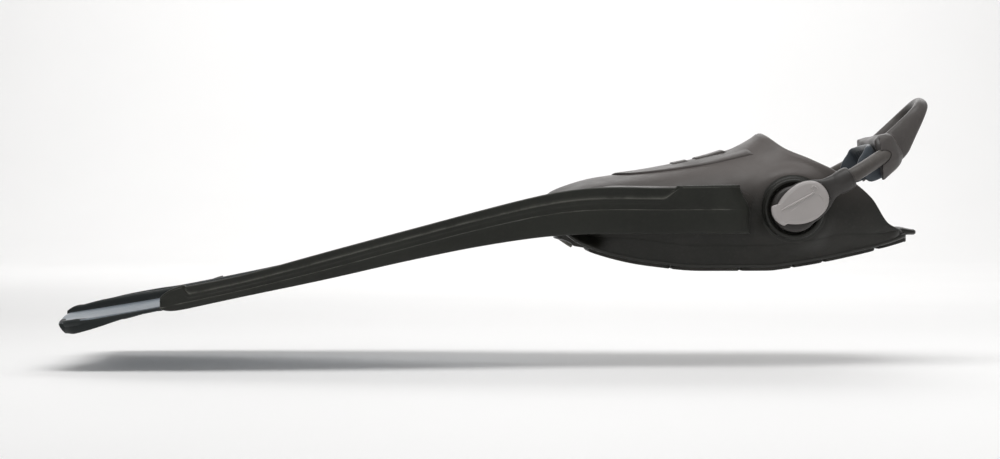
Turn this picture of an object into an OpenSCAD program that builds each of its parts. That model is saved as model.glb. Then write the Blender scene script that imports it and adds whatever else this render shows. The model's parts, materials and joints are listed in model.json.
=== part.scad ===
// Open-heel diving fin. Toe and blade run towards -X, the heel is at +X, the sole rests on Z = 0.
// Left is -Y. Everything is symmetric about the plane Y = 0. All sizes are in millimetres.

/* [Blade] */
// X of the blade's tip
blade_tip_x = -480; // [-500:1:-450]
// Half-width of the blade panel at its tip
blade_half_w = 100; // [80:1:115]
// Thickness of the blade panel
blade_t = 3; // [2:0.5:4]
// Height of the middle of the blade above its edges
blade_crown = 5; // [0:0.5:8]
// Radius of the blade's tip corners
tip_corner = 22; // [10:1:35]
// Distance of each flexible rib from the middle of the blade
rib_y = 45; // [30:1:60]
// Width of a flexible rib
rib_w = 9; // [5:1:14]
// Depth of the edge keels under the tip
keel_depth = 7.5; // [3:0.5:10]

/* [Side rails] */
// X of the front end of each side rail
rail_front_x = -407; // [-440:1:-350]
// X of the rear end of each side rail
rail_rear_x = 7.5; // [-10:0.5:12]
// Thickness of a side rail along Y
rail_t = 8; // [6:0.5:8.5]

/* [Foot pocket] */
// Half-width of the foot pocket at the ball of the foot
pocket_half_w = 55.5; // [50:0.5:55.5]
// Wall of the foot pocket
wall_t = 4.5; // [3:0.5:6]
// X of the front of the toe
toe_x = -146; // [-150:1:-142]
// X of the top of the instep, where the opening begins
peak_x = 20; // [10:1:25]
// Height of the top of the instep
peak_z = 100.5; // [92:0.5:110]
// X of the heel end of the pocket
heel_x = 126; // [115:1:130]

/* [Sole] */
// Thickness of the sole plate
sole_t = 3; // [2:0.5:4]
// Height of the tread pads
tread_h = 2.5; // [1.5:0.5:3]

/* [Buckle] */
// X of the axis that the strap turns on
post_x = 39.5; // [35:0.5:45]
// Height of the axis that the strap turns on
post_z = 45; // [40:0.5:50]
// Slope of the buckle arms at rest, in degrees
arm_tilt = 30; // [25:1:35]
// Distance of each buckle seat from the middle plane
seat_y = 52.2; // [52:0.1:54]
// Radius of the strap post
post_r = 6; // [5:0.5:7]
// Length of the release cap from its middle to its hinge end
cap_r = 15.7; // [14:0.1:16]

/* [Strap] */
// Radius of the elastic cord
cord_r = 5.5; // [4:0.5:6]
// Distance of the cord from the middle plane where it enters the heel pad
pad_entry_y = 44; // [40:1:46]
// Reach of the heel pad from the strap's axis
pad_reach = 86; // [80:1:92]
// Height of the heel pad
pad_h = 30; // [24:1:34]
// Reach of the pull loop from the strap's axis
loop_reach = 126; // [115:1:130]
// Radius of the pull loop's bar
loop_r = 4.8; // [3.5:0.1:5.5]

/* [Hidden] */
$fn = 64;
LEFT = 1;
RIGHT = -1;
// Gap left between neighbouring pieces that are bonded together: flat faces, and faces that curve
bond = 0.1;
curved_bond = 0.5;

// Side curves as [x, z] points: rail top, rail bottom, its two grooves, blade edge, sole, pocket top
rail_top = [[rail_front_x, -15], [-399, -11], [-353, -1.6], [-292, 15], [-236, 30.1],
            [-141, 54.8], [-103, 60.3], [-55, 60.3], [10, 61]];
rail_bottom = [[rail_front_x, -26.8], [-400, -26.7], [-350, -16.2], [-292, -4.2], [-236, 8.4],
               [-180, 19.4], [-127, 26.2], [-65, 27.3], [10, 27.3]];
groove_high = [[rail_front_x, -19], [-383, -13.4], [-292, 8.9], [-180, 37.6], [-122, 48.1],
               [-84, 52.2], [10, 51.4]];
groove_low = [[rail_front_x, -22.5], [-338, -7.9], [-273, 6.5], [-151, 37.4], [-108, 44], [-65, 46.4],
              [10, 44.6]];
blade_edge = [[blade_tip_x, -34.6], [-431, -26.8], [-407, -22.6], [-338, -8.5], [-292, 2],
              [-236, 14.5], [-180, 26.5], [-130, 35.5]];
sole_line = [[-130, 30.3], [-126, 25.5], [-112, 16], [-80, 6.3], [-50, 1.8], [-40, 0.7], [-30, 0],
             [-28, 0], [23, 0], [25, 0], [43, 2.3], [63, 5.6], [85, 10.3], [104, 14.8], [128, 21.7]];
pocket_top = [[toe_x, 46], [-134, 57.5], [-125, 61.5], [-105, 67.5], [-65, 73.4], [-25, 81.5], [0, 89.3],
              [12, 95.6], [peak_x, peak_z]];
// Plan curves as [x, half-width] points
rail_plan = [[blade_tip_x, blade_half_w + 3.2], [rail_front_x, blade_half_w + 1], [-292, 94],
             [-180, 80], [-125, 70], [-60, 65], [10, 64.5]];
sole_plan = [[-130, 61], [-112, 57], [-95, 49], [-60, 45], [0, 42], [60, 34], [100, 32], [128, 24]];
// Distance of the rim from a straight line, over its height from -1 (heel) to 1 (instep)
rim_bulge = [[-1, 0], [-0.77, -3.4], [-0.4, 4], [0, 5.5], [0.4, 2], [0.75, -1.8], [1, 0]];

blade_root_x = -130;
rail_slot = 3.2;
seat_r = 21.4;
seat_recess_r = 18.1;
arm_disc_r = 16.5;
// Distances from the middle plane of the layers of the buckle
seat_floor = seat_y + 2;
arm_in = seat_y + 3.6;
neck_in = seat_y + 6.8;
neck_out = seat_y + 9.2;
arm_out = seat_y + 11.4;
cord_y = seat_y + 7.5;
cap_in = seat_y + 12;
cap_out = seat_y + 17;
hinge_u = 23;
hinge_y = seat_y + 13.6;
pin_r = 1.1;

// ---- curves ----
function clamp(v, lo, hi) = max(lo, min(hi, v));
function smooth(v) = let (c = clamp(v, 0, 1)) c * c * (3 - 2 * c);
function mix(a, b, k) = a + (b - a) * k;
function slope(p, i) = let (a = max(i - 1, 0), b = min(i + 1, len(p) - 1))
  (p[b][1] - p[a][1]) / (p[b][0] - p[a][0]);
function span(p, x) = max([for (i = [0:len(p) - 2]) if (i == 0 || p[i][0] <= x) i]);
// Height at x of a smooth curve through the points p
function curve(p, x) = let (
    i = span(p, x), w = p[i + 1][0] - p[i][0], s = clamp((x - p[i][0]) / w, 0, 1),
    s2 = s * s, s3 = s2 * s)
  p[i][1] * (2 * s3 - 3 * s2 + 1) + p[i + 1][1] * (3 * s2 - 2 * s3)
  + w * (slope(p, i) * (s3 - 2 * s2 + s) + slope(p, i + 1) * (s3 - s2));
function spow(v, n) = sign(v) * pow(abs(v), n);
function steps(a, b, n) = [for (i = [0:n]) mix(a, b, i / n)];
function bezier(p, k) = p[0] * pow(1 - k, 3) + 3 * p[1] * k * pow(1 - k, 2)
  + 3 * p[2] * k * k * (1 - k) + p[3] * pow(k, 3);

// Solid skin through loops of points. Each loop runs anticlockwise as seen from the last loop.
// A ring joins the last loop to the first, and otherwise both ends are closed: flat, or, for thin
// loops whose second half runs back along the first, with a strip between the two halves.
module loft(loops, ring = false, thin = false) {
  m = len(loops[0]);
  n = len(loops);
  sides = [for (i = [0:n - (ring ? 1 : 2)], j = [0:m - 1])
    let (a = i * m + j, b = i * m + (j + 1) % m, k = ((i + 1) % n) * m, c = k + j, d = k + (j + 1) % m)
    each [[a, c, d], [a, d, b]]];
  strip = [for (j = [0:m / 2 - 2]) each [[j, j + 1, m - 2 - j], [j, m - 2 - j, m - 1 - j]]];
  flat = [[for (j = [0:m - 1]) j]];
  first = ring ? [] : thin ? strip : flat;
  caps = concat(first, [for (f = first) [for (j = [len(f) - 1:-1:0]) (n - 1) * m + f[j]]]);
  polyhedron(points = [for (l = loops) each l], faces = concat(sides, caps), convexity = 6);
}

// Round bar along a path of [x, y, z] points, in the plane that is square to its direction
function unit(v) = v / norm(v);
function path_dir(p, i) = unit(p[min(i + 1, len(p) - 1)] - p[max(i - 1, 0)]);
function ring_at(c, d, up, r, n) = let (a = unit(cross(up, d)), b = cross(d, a))
  [for (j = [0:n - 1]) c + r * (cos(360 * j / n) * a + sin(360 * j / n) * b)];
module bar(path, r, up, n = 16) {
  loft([for (i = [0:len(path) - 1]) ring_at(path[i], path_dir(path, i), up, r, n)]);
}

// ---- frames ----
module on_side(side) {
  mirror([0, side == LEFT ? 0 : 1, 0]) children();
}
// Origin on the strap's axis, X along the arms, Y outward in the row, Z square to the arms
module strap_frame() {
  translate([post_x, 0, post_z]) rotate([0, -arm_tilt, 0]) children();
}
// Origin on the strap's axis, X along the arm, Z outward from the fin's middle plane
module buckle_frame(side) {
  on_side(side) strap_frame() rotate([90, 0, 0]) children();
}

// ---- blade ----
function rail_out(x) = curve(rail_plan, x);
function web_half(x) = rail_out(x) - rail_slot;
function crown(x, v) = blade_crown * smooth((0.9 - abs(v)) / 0.4) * (1 - smooth((x + 250) / 110));
function web_top(x, v) = curve(blade_edge, x) + crown(x, v);
function corner_v() = 1 - tip_corner / web_half(blade_tip_x);
// X of the tip at a place v across the blade, from -1 to 1, with rounded corners and a shallow notch
function tip_x(v) = let (c = clamp((abs(v) - corner_v()) / (1 - corner_v()), 0, 1))
  blade_tip_x + tip_corner * (1 - sqrt(1 - c * c * 0.98)) + 6 * smooth((0.62 - abs(v)) / 0.4);
// Half-width of the blade at x, at its rounded corner
function edge_y(x) = let (c = clamp(1 - (x - blade_tip_x) / tip_corner, 0, 1))
  web_half(x) - tip_corner * (1 - sqrt(1 - c * c));

module blade_web() {
  corner = corner_v();
  across = concat(steps(-1, -corner, 5), [for (v = steps(-corner, corner, 16)) if (abs(v) < corner) v],
                  steps(corner, 1, 5));
  color([0.55, 0.6, 0.64]) loft([for (v = across)
    let (xs = [for (k = steps(0, 1, 26)) mix(tip_x(v), blade_root_x, k)])
    concat(
      [for (x = xs) [x, v * web_half(x), web_top(x, v) - blade_t]],
      [for (i = [len(xs) - 1:-1:0]) [xs[i], v * web_half(xs[i]), web_top(xs[i], v)]])], thin = true);
}

function rib_top(x) = web_top(x, 0.4) + mix(6, 1.6, smooth((x + 330) / 170))
  * sqrt(clamp((x - blade_tip_x - 5) / 45, 0.06, 1));
module flex_rib(side) {
  edge = 2;
  h = rib_w / 2;
  color([0.14, 0.15, 0.15]) on_side(side) loft([for (x = steps(blade_tip_x + 6, toe_x - 4, 30))
    let (y = -rib_y * mix(0.86, 1, (blade_root_x - x) / (blade_root_x - blade_tip_x)),
         z0 = web_top(x, rib_y / web_half(x)) + curved_bond, z1 = rib_top(x))
    [[x, y - h, z0], [x, y + h, z0], [x, y + h, z1 - edge * 0.7], [x, y + h - edge, z1],
     [x, y - h + edge, z1], [x, y - h, z1 - edge * 0.7]]]);
}

module edge_keel(side) {
  keel_w = 6;
  color([0.08, 0.1, 0.09]) on_side(side) loft([for (x = steps(blade_tip_x + 5, rail_front_x - 1, 18))
    let (y = edge_y(x), top = web_top(x, 1) - blade_t - bond,
         deep = mix(keel_depth, 1.6, smooth((x - blade_tip_x - 8) / 50))
           * sqrt(clamp((x - blade_tip_x - 3) / 7, 0.1, 1)))
    [[x, -y, top - deep * 0.7], [x, -y + 1.5, top - deep], [x, -y + keel_w - 1, top - deep],
     [x, -y + keel_w, top - deep * 0.6], [x, -y + keel_w, top], [x, -y, top]]]);
}

// ---- side rails ----
// X of the slanted rear end of a rail at height z
function rail_end_x(z) = rail_rear_x - 7 * smooth((z - 44) / 17);
function rail_shear(x, z) = x + (rail_end_x(z) - rail_rear_x) * smooth((x + 35) / (35 + rail_rear_x));
function rail_point(x, y, z) = [rail_shear(x, z), -y, z];
function rail_loop(x) = let (
    out = rail_out(x), in = out - rail_t - 2 * (1 - smooth((x + 200) / 80)),
    slot = out - rail_slot + curved_bond,
    zt = curve(rail_top, x), zb = curve(rail_bottom, x),
    g1 = clamp(curve(groove_high, x), zb + 5, zt - 1.5), g2 = clamp(curve(groove_low, x), zb + 2.5, g1 - 1.5),
    web = web_top(min(x, blade_root_x), 1), zs = clamp(web + 0.6, zb + 4.2, zt - 1.2),
    zu = clamp(web - blade_t - 0.4, zb + 0.6, zs - 3.2))
  [rail_point(x, out, zb + 1.5), rail_point(x, out - 1.5, zb), rail_point(x, in, zb),
   rail_point(x, in, zu), rail_point(x, slot, zu),
   rail_point(x, slot, zs), rail_point(x, in, zs), rail_point(x, in, zt),
   rail_point(x, out - 3.6, zt), rail_point(x, out - 2.4, zt - 1), rail_point(x, out - 2.2, g1 + 0.5),
   rail_point(x, out - 0.7, g1), rail_point(x, out - 0.7, g2 + 0.4), rail_point(x, out, g2)];
module side_rail(side) {
  xs = concat(steps(rail_front_x, rail_front_x + 8, 4), steps(rail_front_x + 20, rail_rear_x, 28));
  color([0.2, 0.21, 0.18]) on_side(side) loft([for (x = xs) rail_loop(x)]);
}

// ---- sole ----
function sole_z(x) = curve(sole_line, x);
module sole_plate() {
  color([0.1, 0.1, 0.09]) loft([for (x = steps(blade_root_x + 0.5, heel_x + 1, 40))
    let (z = sole_z(x) + tread_h + bond, w = curve(sole_plan, x))
    [[x, -w, z + 1], [x, -w + 1.5, z], [x, w - 1.5, z], [x, w, z + 1],
     [x, w, z + sole_t], [x, -w, z + sole_t]]]);
}
// Tread pad between x0 and x1, following the sole
module tread_pad(x0, x1, half_w) {
  xs = steps(x0, x1, 6);
  translate([0, half_w, 0]) rotate([90, 0, 0]) linear_extrude(2 * half_w)
    polygon(concat([for (x = xs) [x, sole_z(x)]],
                   [for (i = [len(xs) - 1:-1:0]) [xs[i], sole_z(xs[i]) + tread_h]]));
}
module tread_toe() {
  color([0.06, 0.06, 0.06]) {
    tread_pad(-107, -79, 36);
    tread_pad(-77, -48.5, 38);
  }
}
module tread_ball() {
  color([0.06, 0.06, 0.06]) {
    tread_pad(-28, 4.5, 38);
    tread_pad(-46.5, -30, 38);
  }
}
module tread_arch() {
  color([0.06, 0.06, 0.06]) {
    tread_pad(6.5, 23, 35);
    tread_pad(25, 41, 33);
  }
}
module tread_heel() {
  color([0.06, 0.06, 0.06]) {
    tread_pad(43, 63.5, 30);
    tread_pad(66.5, 104, 28);
  }
}
// Slotted frame that drains water under the toe
module toe_vent() {
  steep = 34;
  color([0.3, 0.3, 0.28]) translate([-123.5, 0, 21]) rotate([0, steep, 0]) difference() {
    translate([-6, -24, -1]) cube([12, 48, 2]);
    for (i = [-1:1]) translate([-3.5, i * 15 - 6, -2]) cube([7, 12, 4]);
  }
}
// Thin flat tongue behind the heel, with rounded corners
module heel_tab() {
  half_w = 14;
  corner = 4;
  tip = heel_x + 10.5;
  color([0.1, 0.1, 0.09]) translate([0, 0, 27.2]) linear_extrude(3) union() {
    translate([heel_x + 1.6, -half_w]) square([tip - corner - heel_x - 1.6, 2 * half_w]);
    translate([tip - 2 * corner, corner - half_w]) square([2 * corner, 2 * (half_w - corner)]);
    for (s = [-1, 1]) translate([tip - corner, s * (half_w - corner)]) circle(corner);
  }
}
// Pad under the heel end of the sole, which reaches a little behind it
module heel_bumper() {
  color([0.06, 0.06, 0.06]) tread_pad(107, heel_x + 4.5, 18);
}

// ---- foot pocket ----
// Half-width and end points of the pocket's loops, which lean back from the toe (u = 0) to the rim (u = 1)
pocket_plan = [[0, 30], [0.04, 43], [0.12, 51], [0.3, 54.5], [0.45, pocket_half_w], [0.7, 54],
               [0.85, 50.5], [1, 45.5]];
function loop_top(u) = let (x = mix(toe_x, peak_x, u)) [x, curve(pocket_top, x)];
function loop_bottom(u) = let (x = mix(toe_x + 8, heel_x, u), toe = 1 - smooth((x - blade_root_x) / 40))
  [x, sole_z(x) + tread_h + sole_t + (2 + 4 * toe) * curved_bond + bond];
// The pocket swells out to a flat boss under the buckle seat
function boss(y, x, z) = let (d = norm([x - post_x, z - post_z]))
  sign(y) * mix(abs(y), seat_y - 0.5, 1 - smooth((d - 30) / 9));
// Point of the pocket's skin at loop u and angle a, moved out by off
function skin(u, a, off) = let (
    t = loop_top(u), b = loop_bottom(u), d = (t - b) / norm(t - b), n = [d[1], -d[0]],
    e = sin(a) > 0 ? 2.3 : 2.8, sn = spow(sin(a), 2 / e), cs = spow(cos(a), 2 / e),
    half = norm(t - b) / 2 + off * 1.15, c = (t + b) / 2 + d * half * sn
      + n * curve(rim_bulge, sn) * smooth((u - 0.62) / 0.38),
    y = (curve(pocket_plan, u) + off) * cs)
  [c[0], (off >= 0 && u > 0.5 && abs(cs) > 0.6) ? boss(y, c[0], c[1]) : y, c[1]];
function pocket_loop(u, off, n) = [for (j = [0:n - 1]) skin(u, 360 * j / n, off)];
module foot_pocket() {
  n = 44;
  us = concat([0, 0.015], steps(0.04, 1, 24));
  inner = [for (u = us) if (u > 0.03) u];
  color([0.36, 0.34, 0.32]) loft(concat(
    [for (u = us) pocket_loop(u, 0, n)],
    [for (i = [len(inner) - 1:-1:0]) pocket_loop(inner[i], -wall_t, n)]));
}
// Patch on the instep between loops u0 and u1, from off0 to off1 above the skin, spread(u) to each side
module instep_patch(us, spreads, off0, off1, n = 10) {
  loft([for (i = [0:len(us) - 1]) concat(
    [for (a = steps(90 - spreads[i], 90 + spreads[i], n)) skin(us[i], a, off1)],
    [for (a = steps(90 + spreads[i], 90 - spreads[i], n)) skin(us[i], a, off0)])]);
}
module instep_panel() {
  us = steps(0.3, 0.95, 16);
  color([0.3, 0.29, 0.28]) instep_patch(us, [for (u = us) (14 + 24 * smooth((u - 0.3) / 0.55))
    * sqrt(clamp((0.955 - u) / 0.06, 0.3, 1))], curved_bond, 1.9);
}
module instep_ribs() {
  color([0.22, 0.22, 0.21]) for (r = [[0.578, 0.665], [0.708, 0.845]])
    instep_patch(steps(r[0], r[1], 4), [for (i = [0:4]) 14], 1.9 + curved_bond, 3.9, 6);
}

// ---- buckle ----
module buckle_seat(side) {
  color([0.12, 0.12, 0.11]) buckle_frame(side) difference() {
    translate([0, 0, seat_y]) cylinder(h = 4.8, r = seat_r);
    translate([0, 0, seat_floor]) cylinder(h = 5, r = seat_recess_r);
    translate([0, 0, seat_y - 1]) cylinder(h = 6, r = 2.1);
  }
}
module strap_post(side) {
  color([0.1, 0.1, 0.1]) buckle_frame(side) difference() {
    union() {
      translate([0, 0, seat_floor + bond]) cylinder(h = 1.2, r = 9);
      translate([0, 0, seat_floor + 1]) cylinder(h = neck_in - seat_floor - 1, r = post_r);
      translate([0, 0, neck_in]) cylinder(h = neck_out - neck_in, r = post_r - 1.5);
      translate([0, 0, neck_out]) cylinder(h = 1.6, r = post_r);
    }
    cylinder(h = 100, r = 2.1);
    translate([0, 0, neck_out - 0.6]) cylinder(h = 10, r = 3.8);
  }
}
module post_screw(side) {
  color([0.7, 0.7, 0.72]) buckle_frame(side) difference() {
    union() {
      translate([0, 0, seat_y + 0.3]) cylinder(h = neck_out - seat_y - 0.6, r = 2);
      translate([0, 0, neck_out - 0.5]) cylinder(h = 1.8, r = 3.6);
    }
    translate([0, 0, neck_out]) cylinder(h = 5, r = 1.9, $fn = 6);
  }
}
module buckle_arm(side) {
  collar_u = 36.5;
  collar_len = 10;
  color([0.16, 0.15, 0.15]) buckle_frame(side) difference() {
    union() {
      translate([0, 0, arm_in]) cylinder(h = arm_out - arm_in, r = arm_disc_r);
      translate([0, 0, seat_y + 5.2]) linear_extrude(arm_out - seat_y - 5.2)
        polygon([[6, 15.2], [14, 13.8], [21, 10.6], [28, 8.8], [39, 7.5],
                 [39, -7.5], [28, -8.3], [21, -10.2], [14, -13.2], [6, -15.2]]);
      translate([collar_u, 0, cord_y]) rotate([0, 90, 0]) cylinder(h = collar_len, r = 7.6);
      for (s = [-1, 1]) translate([hinge_u, s * 5.6 + 1.35, hinge_y]) rotate([90, 0, 0])
        cylinder(h = 2.7, r = 1.6);
      for (s = [-1, 1]) translate([hinge_u - 1.6, s * 5.6 - 1.35, arm_out - 1])
        cube([3.2, 2.7, hinge_y - arm_out + 1]);
    }
    cylinder(h = 100, r = post_r + 0.05);
    translate([-0.5, -7.3, neck_in + 0.1]) cube([30, 14.6, neck_out - neck_in - 0.2]);
    translate([collar_u + 1, 0, cord_y]) rotate([0, 90, 0]) cylinder(h = 20, r = cord_r + 1);
    translate([hinge_u, 20, hinge_y]) rotate([90, 0, 0]) cylinder(h = 40, r = pin_r + 0.02);
  }
}
// Outline of the release cap: a rounded body and a finger nose that fills the seat's rim
module cap_outline() {
  polygon([for (a = [0:9:351]) [8.3 + cap_r * spow(cos(a), 0.9), 0.8 + 14 * spow(sin(a), 0.9)]]);
  intersection() {
    circle(17.4);
    translate([-20, -5.8]) square([20, 15.2]);
  }
}
module release_cap(side) {
  color([0.62, 0.6, 0.59]) buckle_frame(side) difference() {
    translate([0, 0, cap_in]) linear_extrude(cap_out - cap_in) cap_outline();
    for (s = [-1, 1]) translate([hinge_u - 3.6, s * 5.6 - 1.65, cap_in - 1]) cube([9, 3.3, 4.2]);
    translate([hinge_u - 3.6, 0.9, cap_in - 1]) cube([9, 3.4, 4.9]);
    translate([hinge_u, 20, hinge_y]) rotate([90, 0, 0]) cylinder(h = 40, r = pin_r + 0.05);
  }
}
module cap_hinge_pin(side) {
  color([0.75, 0.75, 0.76]) buckle_frame(side) translate([hinge_u, 6.9, hinge_y]) rotate([90, 0, 0])
    cylinder(h = 13.8, r = pin_r);
}
module cap_spring(side) {
  turns = 4;
  coil_r = 1.6;
  wire_r = 0.22;
  per_turn = 12;
  color([0.7, 0.7, 0.7]) buckle_frame(side) translate([hinge_u, 1.3, hinge_y])
    bar([for (i = [0:turns * per_turn])
      [coil_r * cos(360 * i / per_turn), 2.6 * i / (turns * per_turn), coil_r * sin(360 * i / per_turn)]],
      wire_r, [0, 1, 0], 6);
}
module latch_plate(side) {
  color([0.66, 0.67, 0.68]) buckle_frame(side) difference() {
    translate([0.5, -7, neck_in + 0.3]) cube([24, 14, neck_out - neck_in - 0.6]);
    cylinder(h = 100, r = post_r - 1.3);
  }
}

// ---- strap ----
module cord_ferrule(side) {
  color([0.6, 0.6, 0.6]) buckle_frame(side) translate([38, 0, cord_y]) rotate([0, 90, 0]) difference() {
    cylinder(h = 7.6, r = cord_r + 0.95);
    translate([0, 0, -1]) cylinder(h = 10, r = cord_r + 0.05);
  }
}
// Path of a cord in the strap's frame, from its ferrule to the mouth of the heel pad
cord_path = [[45, -cord_y, 0], [56, -cord_y, 0], [pad_reach - 22, -pad_entry_y - 5.6, 0],
             [pad_reach - 12.5, -pad_entry_y - 0.3, 0]];
module elastic_cord(side) {
  color([0.37, 0.35, 0.34]) on_side(side) strap_frame()
    bar(concat([[38.5, -cord_y, 0], [42, -cord_y, 0]], [for (k = steps(0, 1, 10)) bezier(cord_path, k)]),
        cord_r, [0, 0, 1]);
}
// Middle line of the cord's tunnel in the heel pad, from the left mouth to the right one
pad_half = [[pad_reach - 12, -pad_entry_y, 0], [pad_reach - 2, -pad_entry_y + 6, 0], [pad_reach, -22, 0],
            [pad_reach, 0, 0]];
pad_steps = 13;
pad_path = concat([for (i = [0:pad_steps]) bezier(pad_half, i / pad_steps)],
  [for (i = [pad_steps - 1:-1:0]) let (p = bezier(pad_half, i / pad_steps)) [p[0], -p[1], 0]]);
module elastic_cord_middle() {
  color([0.37, 0.35, 0.34]) strap_frame() bar(pad_path, cord_r, [0, 0, 1], 14);
}
// Loop of the heel pad at step i of its path, in rounded rectangle form
function pad_loop(i, n) = let (
    c = pad_path[i], d = path_dir(pad_path, i), a = unit(cross([0, 0, 1], d)),
    k = abs(i - pad_steps) / pad_steps, h = mix(pad_h / 2, pad_h / 2 - 3, k * k), t = cord_r + 2.6)
  [for (j = [0:n - 1]) let (q = 360 * j / n)
    c + a * t * spow(cos(q), 0.7) + [0, 0, 1] * h * spow(sin(q), 0.6)];
module heel_pad() {
  n = 20;
  last = len(pad_path) - 1;
  color([0.36, 0.35, 0.34]) strap_frame() loft(concat(
    [for (i = [0:last]) pad_loop(i, n)],
    [for (i = [last:-1:0]) ring_at(pad_path[i], path_dir(pad_path, i), [0, 0, 1], cord_r + 0.12, n)]),
    ring = true);
}
// Cushion on the inside of the pad, with a wing forward of each mouth
liner_wing = [[pad_reach - 29, -36, 0], [pad_reach - 20, -35, 0]];
module heel_liner() {
  gap = cord_r + 2.6 + 0.4;
  inner = [for (i = [3:len(pad_path) - 4])
    let (d = path_dir(pad_path, i), a = unit(cross([0, 0, 1], d))) pad_path[i] + a * (gap + 1.8)];
  path = concat(liner_wing, inner, [for (i = [1:-1:0]) [liner_wing[i][0], -liner_wing[i][1], 0]]);
  n = 12;
  color([0.27, 0.3, 0.33]) strap_frame() loft([for (i = [0:len(path) - 1])
    let (d = path_dir(path, i), a = unit(cross([0, 0, 1], d)), h = i == 0 || i == len(path) - 1 ? 9 : 13)
    [for (j = [0:n - 1]) let (q = 360 * j / n)
      path[i] + a * 1.8 * spow(cos(q), 0.6) + [0, 0, 1] * h * spow(sin(q), 0.5)]]);
}
// Path of the pull loop: out along one side, round, and back along the other side
loop_half_w = 24;
loop_out = [pad_reach + 6.5, 0, -1];
loop_end = [loop_reach, 0, 16];
module pull_loop() {
  turn = 18;
  straight = loop_end - unit(loop_end - loop_out) * turn;
  side_leg = [for (k = [0:3]) mix(loop_out, straight, k / 4) - [0, loop_half_w, 0]];
  bend = [for (a = steps(-90, 90, 16)) straight + [0, loop_half_w * sin(a), 0]
    + unit(loop_end - loop_out) * turn * pow(cos(a), 0.9)];
  path = concat(side_leg, bend, [for (i = [3:-1:0]) side_leg[i] + [0, 2 * loop_half_w, 0]]);
  color([0.38, 0.36, 0.35]) strap_frame() bar(path, loop_r, [-0.4, 0, 0.9], 14);
}

blade_web();
flex_rib(LEFT);  // flex_rib_left
flex_rib(RIGHT);  // flex_rib_right
edge_keel(LEFT);  // edge_keel_left
edge_keel(RIGHT);  // edge_keel_right
side_rail(LEFT);  // side_rail_left
side_rail(RIGHT);  // side_rail_right
sole_plate();
foot_pocket();
instep_panel();
instep_ribs();
toe_vent();
tread_toe();
tread_ball();
tread_arch();
tread_heel();
heel_tab();
heel_bumper();
buckle_seat(LEFT);  // buckle_seat_left
buckle_seat(RIGHT);  // buckle_seat_right
strap_post(LEFT);  // strap_post_left
strap_post(RIGHT);  // strap_post_right
post_screw(LEFT);  // post_screw_left
post_screw(RIGHT);  // post_screw_right
buckle_arm(LEFT);  // buckle_arm_left
buckle_arm(RIGHT);  // buckle_arm_right
release_cap(LEFT);  // release_cap_left
release_cap(RIGHT);  // release_cap_right
cap_hinge_pin(LEFT);  // cap_hinge_pin_left
cap_hinge_pin(RIGHT);  // cap_hinge_pin_right
cap_spring(LEFT);  // cap_spring_left
cap_spring(RIGHT);  // cap_spring_right
latch_plate(LEFT);  // latch_plate_left
latch_plate(RIGHT);  // latch_plate_right
cord_ferrule(LEFT);  // cord_ferrule_left
cord_ferrule(RIGHT);  // cord_ferrule_right
elastic_cord(LEFT);  // elastic_cord_left
elastic_cord(RIGHT);  // elastic_cord_right
elastic_cord_middle();
heel_pad();
heel_liner();
pull_loop();
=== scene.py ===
"""Looks of the open-heel diving fin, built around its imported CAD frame.

Metres, in the frame of the CAD: blade towards -X, heel towards +X, +Z up, left side towards -Y.
"""
import json
import math

import bmesh
import bpy
import numpy as np
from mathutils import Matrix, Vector
from mathutils.bvhtree import BVHTree


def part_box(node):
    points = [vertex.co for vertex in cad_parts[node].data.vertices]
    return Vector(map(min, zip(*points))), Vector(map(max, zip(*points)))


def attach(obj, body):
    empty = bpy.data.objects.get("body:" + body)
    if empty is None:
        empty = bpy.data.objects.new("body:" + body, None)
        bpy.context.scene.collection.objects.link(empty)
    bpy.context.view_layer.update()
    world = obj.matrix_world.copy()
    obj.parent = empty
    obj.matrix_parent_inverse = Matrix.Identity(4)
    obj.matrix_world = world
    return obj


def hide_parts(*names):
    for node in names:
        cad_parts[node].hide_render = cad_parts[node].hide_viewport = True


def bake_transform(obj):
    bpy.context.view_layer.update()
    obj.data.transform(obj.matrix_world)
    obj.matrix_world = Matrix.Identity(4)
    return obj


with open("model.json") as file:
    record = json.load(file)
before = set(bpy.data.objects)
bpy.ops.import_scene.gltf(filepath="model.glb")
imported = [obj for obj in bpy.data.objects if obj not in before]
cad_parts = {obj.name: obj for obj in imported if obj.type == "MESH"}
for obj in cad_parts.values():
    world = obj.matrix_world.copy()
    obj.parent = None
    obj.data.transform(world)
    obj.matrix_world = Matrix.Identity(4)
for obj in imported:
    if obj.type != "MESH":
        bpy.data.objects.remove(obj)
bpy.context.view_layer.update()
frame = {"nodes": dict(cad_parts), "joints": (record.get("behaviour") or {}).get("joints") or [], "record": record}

# One millimetre in the frame's metres. Below this line lengths are in millimetres, except in the materials
MM = 0.001
WELD = 1e-6
FAR = 1000.0
SIDES = (("left", -1), ("right", 1))
TURN = 2 * math.pi


# ---------------------------------------------------------------- curves
def spline(points, smooth=True):
    """Function of x through [x, value] points, with the ends held level outside them."""
    xs, ys = np.array(points, float).T
    slopes = np.gradient(ys, xs) if smooth else np.zeros_like(ys)

    def value(x):
        x = np.clip(np.asarray(x, float), xs[0], xs[-1])
        i = np.clip(np.searchsorted(xs, x, side="right") - 1, 0, len(xs) - 2)
        width = xs[i + 1] - xs[i]
        s = (x - xs[i]) / width
        return (ys[i] * (2 * s**3 - 3 * s**2 + 1) + ys[i + 1] * (3 * s**2 - 2 * s**3)
                + width * (slopes[i] * (s**3 - 2 * s**2 + s) + slopes[i + 1] * (s**3 - s**2)))
    return value


def ease(x, start, end):
    """0 at start, 1 at end, smooth between them."""
    s = np.clip((np.asarray(x, float) - start) / (end - start), 0, 1)
    return s * s * (3 - 2 * s)


def mix(a, b, k):
    return a + (b - a) * k


def spow(value, power):
    return np.sign(value) * np.abs(value) ** power


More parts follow.
